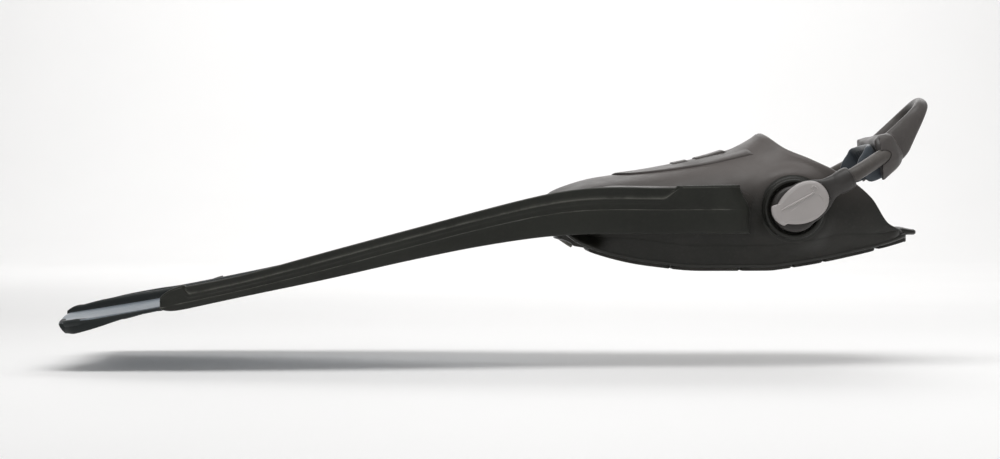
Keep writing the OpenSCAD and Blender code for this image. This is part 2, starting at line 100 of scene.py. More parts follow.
def bezier(points, k):
    """Points of a cubic curve with four control points, at the shares k."""
    p = np.array(points, float)
    k = np.asarray(k, float)[:, None]
    return p[0] * (1 - k)**3 + 3 * p[1] * k * (1 - k)**2 + 3 * p[2] * k * k * (1 - k) + p[3] * k**3


def unit(v):
    v = np.asarray(v, float)
    return v / np.linalg.norm(v, axis=-1, keepdims=True)


def directions(path):
    return unit(np.gradient(np.asarray(path, float), axis=0))


# ---------------------------------------------------------------- reading the frame
def box(node):
    """Corners of a CAD node's box."""
    return [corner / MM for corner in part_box(node)]


def joint(name, key):
    return Vector(next(j[key] for j in frame["joints"] if j["name"] == name))


def tree_of(mesh):
    return BVHTree.FromPolygons([v.co / MM for v in mesh.vertices], [tuple(p.vertices) for p in mesh.polygons])


def side_reach(tree, x, z):
    """Half-width of a surface at x and z, or 0 where the ray from the left misses it."""
    hit = tree.ray_cast(Vector((x, -FAR, z)), Vector((0, 1, 0)))[0]
    return 0.0 if hit is None else -hit.y


class Probe:
    """Reads the surface of one CAD node with rays."""

    def __init__(self, node):
        self.tree = tree_of(frame["nodes"][node].data)
        self.low, self.high = box(node)

    def height(self, x, y, side):
        """Height of the surface seen from above (side 1) or from below (side -1)."""
        point = self.tree.ray_cast(Vector((x, y, side * FAR)), Vector((0, 0, -side)))[0]
        if point is None:
            raise ValueError(f"no surface above or below {x}, {y}")
        return point.z

    def top(self, x, y):
        return self.height(x, y, 1)

    def bottom(self, x, y):
        return self.height(x, y, -1)


# ---------------------------------------------------------------- meshes
def lattice(rows, wrap=False, cap=False):
    """Vertices and faces of a sheet through rows of points. wrap joins each row's ends, cap closes the first and last."""
    rows = np.asarray(rows, float)
    n, m = rows.shape[:2]
    faces = []
    for i in range(n - 1):
        for j in range(m if wrap else m - 1):
            k = (j + 1) % m
            faces.append((i * m + j, i * m + k, (i + 1) * m + k, (i + 1) * m + j))
    if cap:
        faces.append(tuple(range(m))[::-1])
        faces.append(tuple((n - 1) * m + j for j in range(m)))
    return rows.reshape(-1, 3), faces


def closed(rows):
    return lattice(rows, wrap=True, cap=True)


def circle(count):
    """Angles of a full turn, the last one short of the first."""
    return np.linspace(0, TURN, count, endpoint=False)


def joined(parts):
    """One vertex and face list out of several."""
    verts, faces, base = [], [], 0
    for v, f in parts:
        verts.append(np.asarray(v, float))
        faces += [tuple(i + base for i in face) for face in f]
        base += len(v)
    return np.concatenate(verts), faces


def piece(name, shape, slot, crease=35):
    """A smooth-shaded object of the given (vertices, faces), with edges sharper than crease degrees kept."""
    verts, faces = shape
    mesh = bpy.data.meshes.new(name)
    mesh.from_pydata([tuple(v) for v in np.asarray(verts) * MM], [], faces)
    work = bmesh.new()
    work.from_mesh(mesh)
    bmesh.ops.remove_doubles(work, verts=work.verts, dist=WELD)
    bmesh.ops.dissolve_degenerate(work, edges=work.edges, dist=WELD)
    bmesh.ops.recalc_face_normals(work, faces=work.faces)
    work.to_mesh(mesh)
    work.free()
    finish_shading(mesh, crease)
    obj = bpy.data.objects.new(name, mesh)
    bpy.context.scene.collection.objects.link(obj)
    mesh.materials.append(look[slot])
    return obj


def finish_shading(mesh, crease):
    mesh.polygons.foreach_set("use_smooth", [True] * len(mesh.polygons))
    mesh.set_sharp_from_angle(angle=math.radians(crease))


def bake(obj, crease):
    """Applies the object's modifiers to its mesh."""
    graph = bpy.context.evaluated_depsgraph_get()
    graph.update()
    made = bpy.data.meshes.new_from_object(obj.evaluated_get(graph))
    obj.modifiers.clear()
    old = obj.data
    made.materials.clear()
    for material in old.materials:
        made.materials.append(material)
    obj.data = made
    bpy.data.meshes.remove(old)
    finish_shading(made, crease)


def fuse(obj, voxel, relax, crease=180):
    """Melts the object's overlapping shells into one skin."""
    remesh = obj.modifiers.new("melt", "REMESH")
    remesh.mode = "VOXEL"
    remesh.voxel_size = voxel * MM
    smooth = obj.modifiers.new("relax", "SMOOTH")
    smooth.factor = 0.5
    smooth.iterations = relax
    bake(obj, crease)
    return obj


def tube(path, radii, up, around=24, squash=1.0):
    """Closed round bar along a path. squash scales its thickness along up."""
    path = np.asarray(path, float)
    d = directions(path)
    radii = np.broadcast_to(np.asarray(radii, float), len(path))[:, None, None]
    a = unit(np.cross(up, d))
    b = np.cross(d, a)
    t = circle(around)[None, :, None]
    return closed(path[:, None] + radii * (np.cos(t) * a[:, None] + squash * np.sin(t) * b[:, None]))


def turned(profile, place, around):
    """Solid of revolution. profile holds (radius, height) points from axis to axis."""
    return closed([[place(r * math.cos(a), r * math.sin(a), h) for a in circle(around)] for r, h in profile])


def finish_piece(obj, body, slot, *stands_for):
    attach(obj, body)
    if stands_for:
        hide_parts(*stands_for)


def part(name, shape, slot, crease=60, body="fin", stands_for=None):
    """A finished piece. It stands for the CAD node of its own name, unless stands_for lists others or none."""
    finish_piece(piece(name, shape, slot, crease), body, slot, *((name,) if stands_for is None else stands_for))


def flipped(shape, sign):
    return np.asarray(shape[0]) * [1, sign, 1], shape[1]


def pair(name, shape, slot, crease=60, **more):
    """Left and right pieces of a shape that is modelled on the right side."""
    for side, sign in SIDES:
        part(f"{name}_{side}", flipped(shape, sign), slot, crease, **more)


# ---------------------------------------------------------------- materials
class Shader:
    """Builds one material's node tree around a Principled surface."""

    def __init__(self, name, colour, roughness, metallic=0.0):
        self.material = bpy.data.materials.new(name)
        self.material.use_nodes = True
        self.material.diffuse_color = (*colour, 1)
        self.tree = self.material.node_tree
        self.surface = self.tree.nodes["Principled BSDF"]
        self.surface.inputs["Base Color"].default_value = (*colour, 1)
        self.surface.inputs["Roughness"].default_value = roughness
        self.surface.inputs["Metallic"].default_value = metallic
        self.place = self.node("ShaderNodeTexCoord").outputs["Object"]
        self.height = None

    def node(self, kind, **settings):
        made = self.tree.nodes.new(kind)
        for key, value in settings.items():
            setattr(made, key, value)
        return made

    def link(self, source, target):
        self.tree.links.new(source, target)

    def set(self, **values):
        for name, value in values.items():
            self.surface.inputs[name.replace("_", " ")].default_value = value

    def stretched(self, stretch):
        mapping = self.node("ShaderNodeMapping")
        mapping.inputs["Scale"].default_value = stretch
        self.link(self.place, mapping.inputs["Vector"])
        return mapping.outputs["Vector"]

    def noise(self, size, detail=3.0, stretch=(1, 1, 1)):
        """Noise from 0 to 1 whose blotches are about size metres across."""
        made = self.node("ShaderNodeTexNoise")
        made.inputs["Scale"].default_value = 1 / size
        made.inputs["Detail"].default_value = detail
        made.inputs["Roughness"].default_value = 0.55
        self.link(self.stretched(stretch), made.inputs["Vector"])
        return made.outputs["Fac"]

    def cells(self, size):
        made = self.node("ShaderNodeTexVoronoi", feature="SMOOTH_F1")
        made.inputs["Scale"].default_value = 1 / size
        self.link(self.place, made.inputs["Vector"])
        return made.outputs["Distance"]

    def remap(self, value, low, high, to_low=0.0, to_high=1.0):
        made = self.node("ShaderNodeMapRange", interpolation_type="SMOOTHSTEP")
        self.link(value, made.inputs["Value"])
        for name, number in (("From Min", low), ("From Max", high), ("To Min", to_low), ("To Max", to_high)):
            made.inputs[name].default_value = number
        return made.outputs["Result"]

    def math(self, operation, a, b):
        made = self.node("ShaderNodeMath", operation=operation)
        for source, target in ((a, made.inputs[0]), (b, made.inputs[1])):
            if isinstance(source, (int, float)):
                target.default_value = source
            else:
                self.link(source, target)
        return made.outputs["Value"]

    def tint(self, share, colour):
        """Mixes colour over what the surface has so far, by share."""
        made = self.node("ShaderNodeMix", data_type="RGBA")
        base = self.surface.inputs["Base Color"]
        self.link(share, made.inputs["Factor"])
        if base.is_linked:
            self.link(base.links[0].from_socket, made.inputs[6])
        else:
            made.inputs[6].default_value = base.default_value
        made.inputs[7].default_value = (*colour, 1)
        self.link(made.outputs[2], base)

    def roughen(self, value, low, high):
        self.link(self.remap(value, 0.3, 0.7, low, high), self.surface.inputs["Roughness"])

    def bump(self, value, depth):
        """Adds relief of the given depth in metres."""
        made = self.node("ShaderNodeBump")
        made.inputs["Strength"].default_value = 1.0
        made.inputs["Distance"].default_value = depth
        self.link(value, made.inputs["Height"])
        if self.height is not None:
            self.link(self.height, made.inputs["Normal"])
        self.height = made.outputs["Normal"]
        self.link(self.height, self.surface.inputs["Normal"])

    def edges(self, low=0.52, high=0.6):
        """Share that is high on worn, outward edges."""
        return self.remap(self.node("ShaderNodeNewGeometry").outputs["Pointiness"], low, high)


def rubber(name, colour, *, rough=(0.5, 0.62), worn=None, dust=None, sheen=0.05, grain=0.00006, wear=(0.52, 0.6)):
    """Moulded rubber: fine grain, soft blotches, paler edges and a little dust that settles on top."""
    s = Shader(name, colour, sum(rough) / 2)
    s.set(Sheen_Weight=sheen, Sheen_Roughness=0.4, Specular_IOR_Level=0.28)
    darker = tuple(c * 0.72 for c in colour)
    s.tint(s.remap(s.noise(0.045, 4), 0.35, 0.7), darker)
    s.tint(s.remap(s.noise(0.0025, 2), 0.45, 0.85, 0, 0.35), tuple(c * 1.35 for c in colour))
    if worn:
        s.tint(s.math("MULTIPLY", s.edges(*wear), s.remap(s.noise(0.012, 4), 0.3, 0.6, 0.25, 0.9)), worn)
    if dust:
        up = s.node("ShaderNodeSeparateXYZ")
        s.link(s.node("ShaderNodeNewGeometry").outputs["Normal"], up.inputs["Vector"])
        settle = s.remap(up.outputs["Z"], 0.25, 1.0)
        s.tint(s.math("MULTIPLY", settle, s.remap(s.noise(0.03, 5), 0.3, 0.75, 0.25, 0.75)), dust)
    s.roughen(s.noise(0.02, 4), *rough)
    s.bump(s.noise(0.0007, 2), grain)
    s.bump(s.noise(0.006, 3), grain * 1.8)
    return s.material


def moulded(name, colour, *, rough=(0.32, 0.45), worn=None, grain=0.00003, coat=0.0):
    """Injection-moulded plastic: fine spark-eroded grain and faint rubbing marks."""
    s = Shader(name, colour, sum(rough) / 2)
    s.set(Specular_IOR_Level=0.4, Coat_Weight=coat, Coat_Roughness=0.25)
    s.tint(s.remap(s.noise(0.03, 4), 0.35, 0.75, 0, 0.6), tuple(c * 0.86 for c in colour))
    if worn:
        s.tint(s.math("MULTIPLY", s.edges(), s.remap(s.noise(0.008, 4), 0.35, 0.6, 0.2, 0.8)), worn)
    s.roughen(s.noise(0.01, 5), *rough)
    s.bump(s.cells(0.0009), grain)
    s.bump(s.noise(0.004, 4), grain)
    return s.material


def steel(name, colour, rough=(0.22, 0.38), brushed=(1, 1, 18)):
    """Brushed stainless steel with a fine directional grain."""
    s = Shader(name, colour, sum(rough) / 2, metallic=1.0)
    lines = s.noise(0.003, 6, brushed)
    s.tint(s.remap(s.noise(0.006, 4), 0.4, 0.8, 0, 0.5), tuple(c * 0.7 for c in colour))
    s.roughen(lines, *rough)
    s.bump(lines, 0.00001)
    return s.material


def blade_plastic():
    """Blue-grey technopolymer: satin, faintly see-through, streaked along the blade."""
    s = Shader("blade_plastic", (0.225, 0.26, 0.295), 0.34)
    s.set(Specular_IOR_Level=0.55, Coat_Weight=0.25, Coat_Roughness=0.3)
    along = (0.08, 1, 1)
    s.tint(s.remap(s.noise(0.012, 5, along), 0.35, 0.75, 0, 0.7), (0.18, 0.212, 0.245))
    s.tint(s.remap(s.noise(0.05, 3), 0.5, 0.8, 0, 0.35), (0.27, 0.31, 0.345))
    s.tint(s.math("MULTIPLY", s.edges(0.515, 0.58), s.remap(s.noise(0.01, 4), 0.3, 0.6, 0.3, 0.9)),
           (0.36, 0.40, 0.44))
    s.roughen(s.noise(0.015, 5, along), 0.28, 0.42)
    s.bump(s.noise(0.0009, 3), 0.00002)
    s.bump(s.noise(0.008, 4, along), 0.00005)
    return s.material


def pocket_rubber():
    """Soft pocket rubber: brownish grey and silky on top, with painted shade that makes it darker and browner towards
    the sole.
    """
    colour = (0.098, 0.086, 0.080)
    s = Shader("pocket_rubber", colour, 0.48)
    s.set(Sheen_Weight=0.05, Sheen_Roughness=0.35, Specular_IOR_Level=0.32)
    place = s.node("ShaderNodeSeparateXYZ")
    s.link(s.place, place.inputs["Vector"])
    # Painted shade: the colour darkens with falling height from 78 mm to near black at 40 mm, standing in for the shade
    # below the light from above
    s.tint(s.remap(place.outputs["Z"], 0.078, 0.040), (0.0085, 0.0085, 0.006))
    s.tint(s.remap(s.noise(0.05, 4), 0.4, 0.75, 0, 0.35), (0.03, 0.027, 0.024))
    s.tint(s.remap(s.noise(0.0022, 2), 0.5, 0.9, 0, 0.10), (0.10, 0.092, 0.085))
    s.roughen(s.noise(0.018, 4), 0.40, 0.53)
    s.bump(s.noise(0.0006, 2), 0.00004)
    s.bump(s.noise(0.007, 3), 0.00016)
    return s.material


def floor_material():
    """Matt white paint with faint blotches."""
    s = Shader("floor", (0.93, 0.925, 0.92), 0.6)
    s.tint(s.remap(s.noise(0.4, 3), 0.3, 0.8, 0, 0.5), (0.90, 0.895, 0.89))
    s.bump(s.noise(0.004, 3), 0.0001)
    return s.material


RUBBERS = {
    "blade_rubber": dict(colour=(0.010, 0.014, 0.014), rough=(0.42, 0.56), worn=(0.05, 0.055, 0.055),
                         dust=(0.03, 0.034, 0.034)),
    "rail_rubber": dict(colour=(0.017, 0.018, 0.014), rough=(0.40, 0.52), worn=(0.17, 0.17, 0.15),
                        dust=(0.05, 0.048, 0.041), wear=(0.503, 0.55)),
    "panel_rubber": dict(colour=(0.092, 0.082, 0.077), rough=(0.42, 0.54), worn=(0.11, 0.10, 0.095)),
    "tread_rubber": dict(colour=(0.011, 0.011, 0.009), rough=(0.6, 0.75), worn=(0.045, 0.043, 0.038), grain=0.00012),
    "seat_plastic": dict(colour=(0.015, 0.015, 0.012), rough=(0.36, 0.48), worn=(0.05, 0.048, 0.042)),
    "cord_rubber": dict(colour=(0.098, 0.089, 0.082), rough=(0.38, 0.5), worn=(0.14, 0.13, 0.12)),
    "pad_rubber": dict(colour=(0.092, 0.084, 0.080), rough=(0.36, 0.5), worn=(0.15, 0.14, 0.135)),
    "liner_rubber": dict(colour=(0.078, 0.092, 0.107), rough=(0.3, 0.42), worn=(0.12, 0.135, 0.15)),
}
PLASTICS = {
    "sole_plastic": dict(colour=(0.014, 0.014, 0.011), worn=(0.05, 0.048, 0.042)),
    "vent_plastic": dict(colour=(0.14, 0.135, 0.115), worn=(0.3, 0.29, 0.26)),
    "post_plastic": dict(colour=(0.02, 0.019, 0.018), rough=(0.2, 0.3)),
    "arm_plastic": dict(colour=(0.033, 0.030, 0.028), rough=(0.36, 0.48), worn=(0.12, 0.11, 0.105)),
    "cap_silver": dict(colour=(0.40, 0.375, 0.365), rough=(0.30, 0.42), coat=0.2, worn=(0.55, 0.53, 0.51),
                       grain=0.00002),
}
STEELS = {
    "screw_steel": dict(colour=(0.62, 0.62, 0.64)),
    "pin_steel": dict(colour=(0.66, 0.66, 0.68)),
    "spring_steel": dict(colour=(0.5, 0.5, 0.52), brushed=(1, 1, 1)),
    "latch_steel": dict(colour=(0.55, 0.56, 0.58), brushed=(1, 1, 30)),
    "ferrule_steel": dict(colour=(0.5, 0.5, 0.52), brushed=(1, 14, 1)),
}
look = {"blade_panel": blade_plastic(), "pocket_rubber": pocket_rubber(), "floor": floor_material()}
for make, table in ((rubber, RUBBERS), (moulded, PLASTICS), (steel, STEELS)):
    look.update({slot: make(slot, **values) for slot, values in table.items()})


# ---------------------------------------------------------------- lines read from the frame
web = Probe("blade_web")
rail = Probe("side_rail_left")
sole = Probe("sole_plate")
keel = Probe("edge_keel_left")
rib = Probe("flex_rib_left")
pocket_low, pocket_high = box("foot_pocket")


def widest(probe, x):
    """Largest half-width of a node at x, over its whole height."""
    return max(side_reach(probe.tree, x, z) for z in np.arange(probe.low.z + 0.3, probe.high.z, 1.0))


TIP_CORNER = 22
WEB_T = 3.0
RIB_HALF = 4.5
tip_x = web.low.x
root_x = web.high.x
rail_front = rail.low.x
rail_rear = rail.high.x

web_stations = np.linspace(tip_x + TIP_CORNER + 2, root_x - 1, 24)
web_half = spline([[x, widest(web, x)] for x in web_stations])
edge_z = spline([[x, web.top(x, -web_half(x) + 2)] for x in web_stations])
arch = spline([[x, web.top(x, 0.0) - edge_z(x)] for x in web_stations])
web_slope = (edge_z(web_stations[2]) - edge_z(web_stations[0])) / (web_stations[2] - web_stations[0])

rail_stations = np.linspace(rail_front + 0.5, rail_rear - 12, 30)
rail_out = spline([[x, widest(rail, x)] for x in rail_stations])
rail_top = spline([[x, rail.top(x, -rail_out(x) + 5)] for x in rail_stations])
rail_bottom = spline([[x, rail.bottom(x, -rail_out(x) + 3)] for x in rail_stations])


def web_line(x):
    """Height of the blade's edge, carried straight on past the last station at the tip."""
    x = np.asarray(x, float)
    return edge_z(x) + web_slope * np.minimum(x - web_stations[0], 0)


def web_top(x, v):
    """Height of the blade's upper face at x and share v of the half-width."""
    return web_line(x) + arch(x) * ease(0.9 - np.abs(v), 0, 0.4)


def blade_half(x):
    """Half-width of the blade, with its rounded tip corners."""
    c = np.clip(1 - (np.asarray(x, float) - tip_x) / TIP_CORNER, 0, 1)
    return web_half(x) - TIP_CORNER * (1 - np.sqrt(np.clip(1 - c * c, 0, 1)))


def blade_tip(v):
    """X of the tip's outline at share v of the half-width: rounded corners and a shallow notch."""
    full = web_half(tip_x)
    c = np.clip((abs(v) * full - (full - TIP_CORNER)) / TIP_CORNER, 0, 1)
    return tip_x + TIP_CORNER * (1 - math.sqrt(max(1 - 0.985 * c * c, 0))) + 6 * ease(0.62 - abs(v), 0, 0.4)


# ---------------------------------------------------------------- blade
def blade_relief(x, y):
    """Low flow ridges moulded in the middle of the blade, and a step up at its root."""
    ridge_gap = 15
    ridge = 0.0
    for k in (-1, 0, 1):
        d = np.abs(y - k * ridge_gap)
        ridge = np.maximum(ridge, 1 - ease(d, 0.8, 2.4))
    reach = ease(x, tip_x + 70, tip_x + 110) * (1 - ease(x, root_x - 50, root_x - 25))
    return 0.9 * ridge * reach


def blade_panel():
    shares = np.concatenate([np.linspace(-1, -0.75, 14, endpoint=False), np.linspace(-0.75, 0.75, 106),
                             np.linspace(0.75, 1, 15)[1:]])
    rows = []
    for v in shares:
        x = mix(blade_tip(v), root_x + 4, np.linspace(0, 1, 110) ** 1.15)
        y = v * web_half(x)
        top = web_top(x, v)
        upper = np.stack([x, y, top + blade_relief(x, y)], axis=1)
        lower = np.stack([x, y, top - WEB_T], axis=1)
        nose = [[x[0] - 1.1, y[0], top[0] - WEB_T * k] for k in (0.25, 0.5, 0.75)]
        rows.append(np.concatenate([lower[::-1], nose[::-1], upper]))
    part("blade_panel", closed(rows), "blade_panel", 50, stands_for=("blade_web",))


def flex_ribs():
    """Soft strips along the blade, high at the tip and low at the toe, with rounded backs and ends."""
    start, end = rib.low.x, rib.high.x
    stations = np.linspace(start + 3, end - 1, 24)
    outer = spline([[x, widest(rib, x)] for x in stations])
    back = spline([[x, rib.top(x, RIB_HALF - outer(x))] for x in stations])
    nose_x = start - 8
    t = np.linspace(0, math.pi, 18)
    rows = []
    for x in nose_x + (end - nose_x) * np.linspace(0, 1, 130) ** 1.25:
        y = outer(x) - RIB_HALF
        base = web_top(x, y / web_half(x)) - 0.5
        round_nose = np.sqrt(np.clip(ease(x, nose_x - 3, nose_x + 10), 0.02, 1))
        round_end = np.sqrt(np.clip(1 - ease(x, end - 14, end + 1), 0.02, 1))
        ends = round_nose * round_end
        rise = (back(x) - base + 2.4 * (1 - ease(x, nose_x + 8, nose_x + 70))) * ends
        wide = RIB_HALF * mix(0.55, 1, ends)
        rows.append(np.stack([np.full(len(t), x), y - wide * spow(np.cos(t), 0.55), base + rise * spow(np.sin(t), 0.5)],
                             axis=1))
    pair("flex_rib", closed(rows), "blade_rubber")


def edge_keels():
    """Rubber edging round the blade's edge: a lobe under the tip, a bead round the tip's corner."""
    start, end = keel.low.x, rail_front + 1
    stations = np.linspace(start + 3, keel.high.x - 1, 16)
    deepest = spline([[x, keel.bottom(x, 3 - blade_half(x))] for x in stations])
    t = circle(24)
    rows = []
    for k in np.linspace(0, 1, 60):
        x = start - 3.5 + (end - start + 3.5) * k**1.3
        edge = blade_half(max(x, start + 1))
        top = web_line(x) - 0.4
        round_off = math.sqrt(np.clip((x - start + 3.6) / 4.5, 0, 1))
        thin_end = mix(1, 0.72, ease(x, end - 45, end))
        deep = (top - deepest(max(x, start + 4))) * round_off * 0.9 * thin_end
        half_w = 3.9 * mix(0.35, 1, round_off)
        rows.append(np.stack([np.full(len(t), x), edge - 3.1 + half_w * spow(np.cos(t), 0.75),
                              top - deep / 2 + (deep / 2) * spow(np.sin(t), 0.75)], axis=1))
    full = web_half(tip_x)
    bead = [(blade_tip(v) + 1.8, v * full - 0.8, web_top(blade_tip(v), v) - 1.7) for v in np.linspace(0.70, 0.985, 30)]
    bead += [(tip_x + k, full - 2.2, web_line(tip_x + k) - 2.9) for k in (23, 27, 31, 35, 39)]
    radii = 2.9 * np.sqrt(np.clip(np.linspace(0.1, 4, len(bead)), 0, 1))
    radii[-5:] *= np.array([1, 0.9, 0.75, 0.55, 0.3])
    pair("edge_keel", joined([closed(rows), tube(bead, radii, (0, 0, 1), around=18)]), "blade_rubber")


# ---------------------------------------------------------------- side rails
# Depth of the two steps in a rail's outer face, its thickness, where the upper recess starts and ends, and how
# far the rear end leans
STEP_LOW = 0.8
STEP_HIGH = 1.6
RAIL_THICK = 10.0
RECESS_START = rail_front + 15
RECESS_END = -40
SLANT = 7


def rail_groove_high(x):
    """Lower edge of the recess: it leaves the top edge in a hook, runs along, and rises back in an S-curve."""
    top, low = rail_top(x), rail_bottom(x)
    share = mix(0.40, 0.26, ease(x, rail_front, -150))
    line = top - (top - low) * share
    rise = 1 - ease(x, RECESS_START, RECESS_START + 6) + ease(x, RECESS_END - 15, RECESS_END)
    return mix(line, top, np.clip(rise, 0, 1))


def rail_groove_low(x):
    top, low = rail_top(x), rail_bottom(x)
    return top - (top - low) * mix(0.72, 0.49, ease(x, rail_front + 20, -120))


def side_rails():
    """Rails with sections set close together where the outline turns: nose, hook, S-curve and rear end."""
    spans = [rail_front + 14 * np.linspace(0, 1, 16) ** 2, np.linspace(rail_front + 14.5, rail_front + 32, 30),
             np.linspace(rail_front + 34, -66, 130), np.linspace(-65, -34, 46),
             np.linspace(-32, rail_rear - 9, 20), rail_rear - 9 * np.linspace(1, 0, 16)[1:] ** 2]
    pair("side_rail", closed([rail_section(x) for x in np.concatenate(spans)]), "rail_rubber", 42)


def rounded(share):
    """Quarter-circle rise from 0 to 1."""
    share = np.clip(share, 0, 1)
    return math.sqrt(share * (2 - share))


def rail_section(x):
    """Closed outline of the right rail at x, outer face first, from the bottom up."""
    nose, tail = rounded((x - rail_front) / 11), rounded((rail_rear - x) / 9)
    out, top, low = rail_out(x), rail_top(x), rail_bottom(x)
    centre = mix(top, low, 0.62)
    top, low = mix(centre, top, mix(0.45, 1, nose)), mix(centre, low, mix(0.35, 1, nose))
    out -= 3.0 * (1 - nose) + 6.5 * (1 - tail)
    high_line = min(rail_groove_high(x), top)
    low_line = rail_groove_low(x)
    depth_low = STEP_LOW * ease(x, rail_front + 4, rail_front + 22)
    depth_high = STEP_HIGH * ease(top - high_line, 0.4, 2.5)
    fade = 1 - 0.65 * ease(x, -285, -250) * (1 - ease(x, -165, -145))
    depth_low *= fade * (1 - ease(x, -16, -2))
    high_line = max(high_line, low_line + 2)
    y = out - depth_low
    edge = y - depth_high
    crown = min(top - 0.2, high_line + 1.4)
    roof = max(top, crown)
    inner = out - RAIL_THICK

    def arc(cy, cz, r, a0, a1, n):
        return [(cy + r * math.cos(a), cz + r * math.sin(a)) for a in np.linspace(a0, a1, n)]

    def bulge(y0, by, z0, z1, shares):
        return [(y0 + by * math.sin(math.pi * k), mix(z0, z1, k)) for k in shares]

    outline = arc(out - 1.8, low + 1.8, 1.8, -math.pi / 2, 0, 6)
    outline += bulge(out, 0.25, low + 1.8, low_line - 0.6, (0.35, 0.7))
    outline += [(out, low_line - 0.6), (out - 0.12, low_line - 0.2), (y - 0.1, low_line + 0.15), (y, low_line + 0.7)]
    outline += bulge(y, -0.35, low_line + 0.7, high_line - 0.6, (0.3, 0.6, 0.85))
    outline += [(y, high_line - 0.6), (y - 0.15, high_line - 0.15), (edge, min(high_line + 0.5, crown)),
                (edge - 0.05, crown)]
    outline += bulge(edge, -0.2, crown, max(top - 1.6, crown), (0.35, 0.7))
    outline += arc(edge - 1.5, max(top - 1.5, crown), 1.5, 0, math.pi / 2, 7)
    outline += [(mix(edge, inner, 0.55), roof), (inner + 1, roof), (inner, roof - 1), (inner, mix(low, top, 0.5)),
                (inner, low + 1.2), (inner + 1.2, low), (mix(inner, out, 0.5), low)]
    bend = ease(x, -35, rail_rear)
    return [(x - SLANT * bend * ease(z, 44, 61), y, z) for y, z in outline]


# ---------------------------------------------------------------- sole
sole_stations = np.linspace(sole.low.x + 1, sole.high.x - 1, 34)
sole_half = spline([[x, widest(sole, x)] for x in sole_stations])
sole_under = spline([[x, sole.bottom(x, 0.0)] for x in sole_stations])
SOLE_T = 3.0
TREAD_T = 2.5


def sole_plate():
    """Chassis under the pocket: a thin plate with a rolled edge that shows as a fine line along the pocket."""
    rows = []
    t = np.linspace(0, TURN / 2, 9)
    for x in np.linspace(sole.low.x - 3, sole.high.x, 130):
        half, low = sole_half(x), sole_under(x)
        half -= 9 * (1 - math.sqrt(np.clip((sole.high.x + 0.5 - x) / 12, 0, 1)))
        high = low + SOLE_T + 0.6
        r = (high - low) / 2
        across = np.linspace(-1, 1, 15)[1:-1]
        right = [(half - r + r * math.sin(a), low + r - r * math.cos(a)) for a in t]
        left = [(-half + r - r * math.sin(a), high - r + r * math.cos(a)) for a in t]
        bottom = [(v * (half - r), low) for v in across]
        top = [(-v * (half - r), high) for v in across]
        rows.append([(x, y, z) for y, z in bottom + right + top + left])
    part("sole_plate", closed(rows), "sole_plastic", 50)


def tread(x0, x1, half, thick, bars, corner=3.5):
    """Sole pad from x0 to x1 that follows the sole's outline: cross grooves cut it into bars, a drain runs along it."""
    margin = 1.2
    near_ends = [k * corner for k in (0.02, 0.1, 0.25, 0.5, 1)] + [margin, margin / 3]
    xs = np.unique(np.concatenate([np.linspace(x0, x1, 8 * bars + 1)] + [[x0 + k, x1 - k] for k in near_ends]))
    shares = np.unique(np.concatenate([np.linspace(-1, 1, 25), [s * k for s in (-1, 1) for k in (0.99, 0.965, 0.03, 0.05)]]))
    pitch = (x1 - x0) / bars
    rows = []
    for x in xs:
        to_end = min(x - x0, x1 - x)
        base = sole_under(x) + 0.3
        reach = min(sole_half(x) - 3.5, half) - corner + math.sqrt(corner**2 - max(corner - to_end, 0)**2)
        groove = abs((x - x0) / pitch - round((x - x0) / pitch)) * pitch
        row = []
        for y in shares * reach:
            depth = thick + 0.3
            if groove < 0.9 and to_end > margin and abs(y) < reach - 4:
                depth -= 1.1
            if abs(y) < 1.5:
                depth -= 1.0
            depth -= 0.9 * (1 - math.sqrt(min(max(min(to_end, reach - abs(y)), 0) / margin, 1)))
            row.append((x, y, base - depth))
        rows.append(row + [(x, y, base) for x, y, z in row[::-1]])
    return closed(rows)


def treads():
    """Sole pads in the places of the CAD's tread nodes; neighbours nearly touch, with narrow gaps between them."""
    gap, bar_pitch = 0.5, 8.5
    spans = {"tread_toe": [(None, -47.5)], "tread_ball": [(-47.5, 3)], "tread_arch": [(3, 41.5), (41.5, 64.5)],
             "tread_heel": [(64.5, 103)]}
    for node, ranges in spans.items():
        low, high = box(node)
        pads = []
        for start, end in ranges:
            x0, x1 = low.x if start is None else start + gap, end - gap
            pads.append(tread(x0, x1, high.y + 5, TREAD_T, max(2, round((x1 - x0) / bar_pitch))))
        part(node, joined(pads), "tread_rubber", 40)
    low, high = box("heel_bumper")
    part("heel_bumper", tread(low.x, high.x - 2, high.y, 3.0, 2, corner=9), "tread_rubber", 40)


def heel_tab():
    """Thin tongue behind the heel: it flares out of the pocket's heel and ends in a rounded, slightly dished edge."""
    low, high = box("heel_tab")
    mid = (low.z + high.z) / 2
    rows = []
    for k in np.linspace(0, 1, 26):
        x = mix(low.x - 9, high.x, k)
        half = high.y + 7 * (1 - ease(k, 0, 0.55))
        half -= 8 * (1 - math.sqrt(max(1 - max(k - 0.62, 0)**2 / 0.38**2, 0)))
        thick = mix(3.8, 2.1, ease(k, 0, 0.9))
        thick *= math.sqrt(min((1.02 - k) / 0.12, 1)) * mix(0.4, 1, ease(k, 0, 0.25))
        z = mid - 0.8 * ease(k, 0.2, 1) - 3.2 * (1 - ease(k, 0, 0.34))
        t = circle(40)
        rows.append(np.stack([np.full(40, x), half * spow(np.cos(t), 0.35), z + thick * spow(np.sin(t), 0.8)], axis=1))
    part("heel_tab", closed(rows), "sole_plastic")


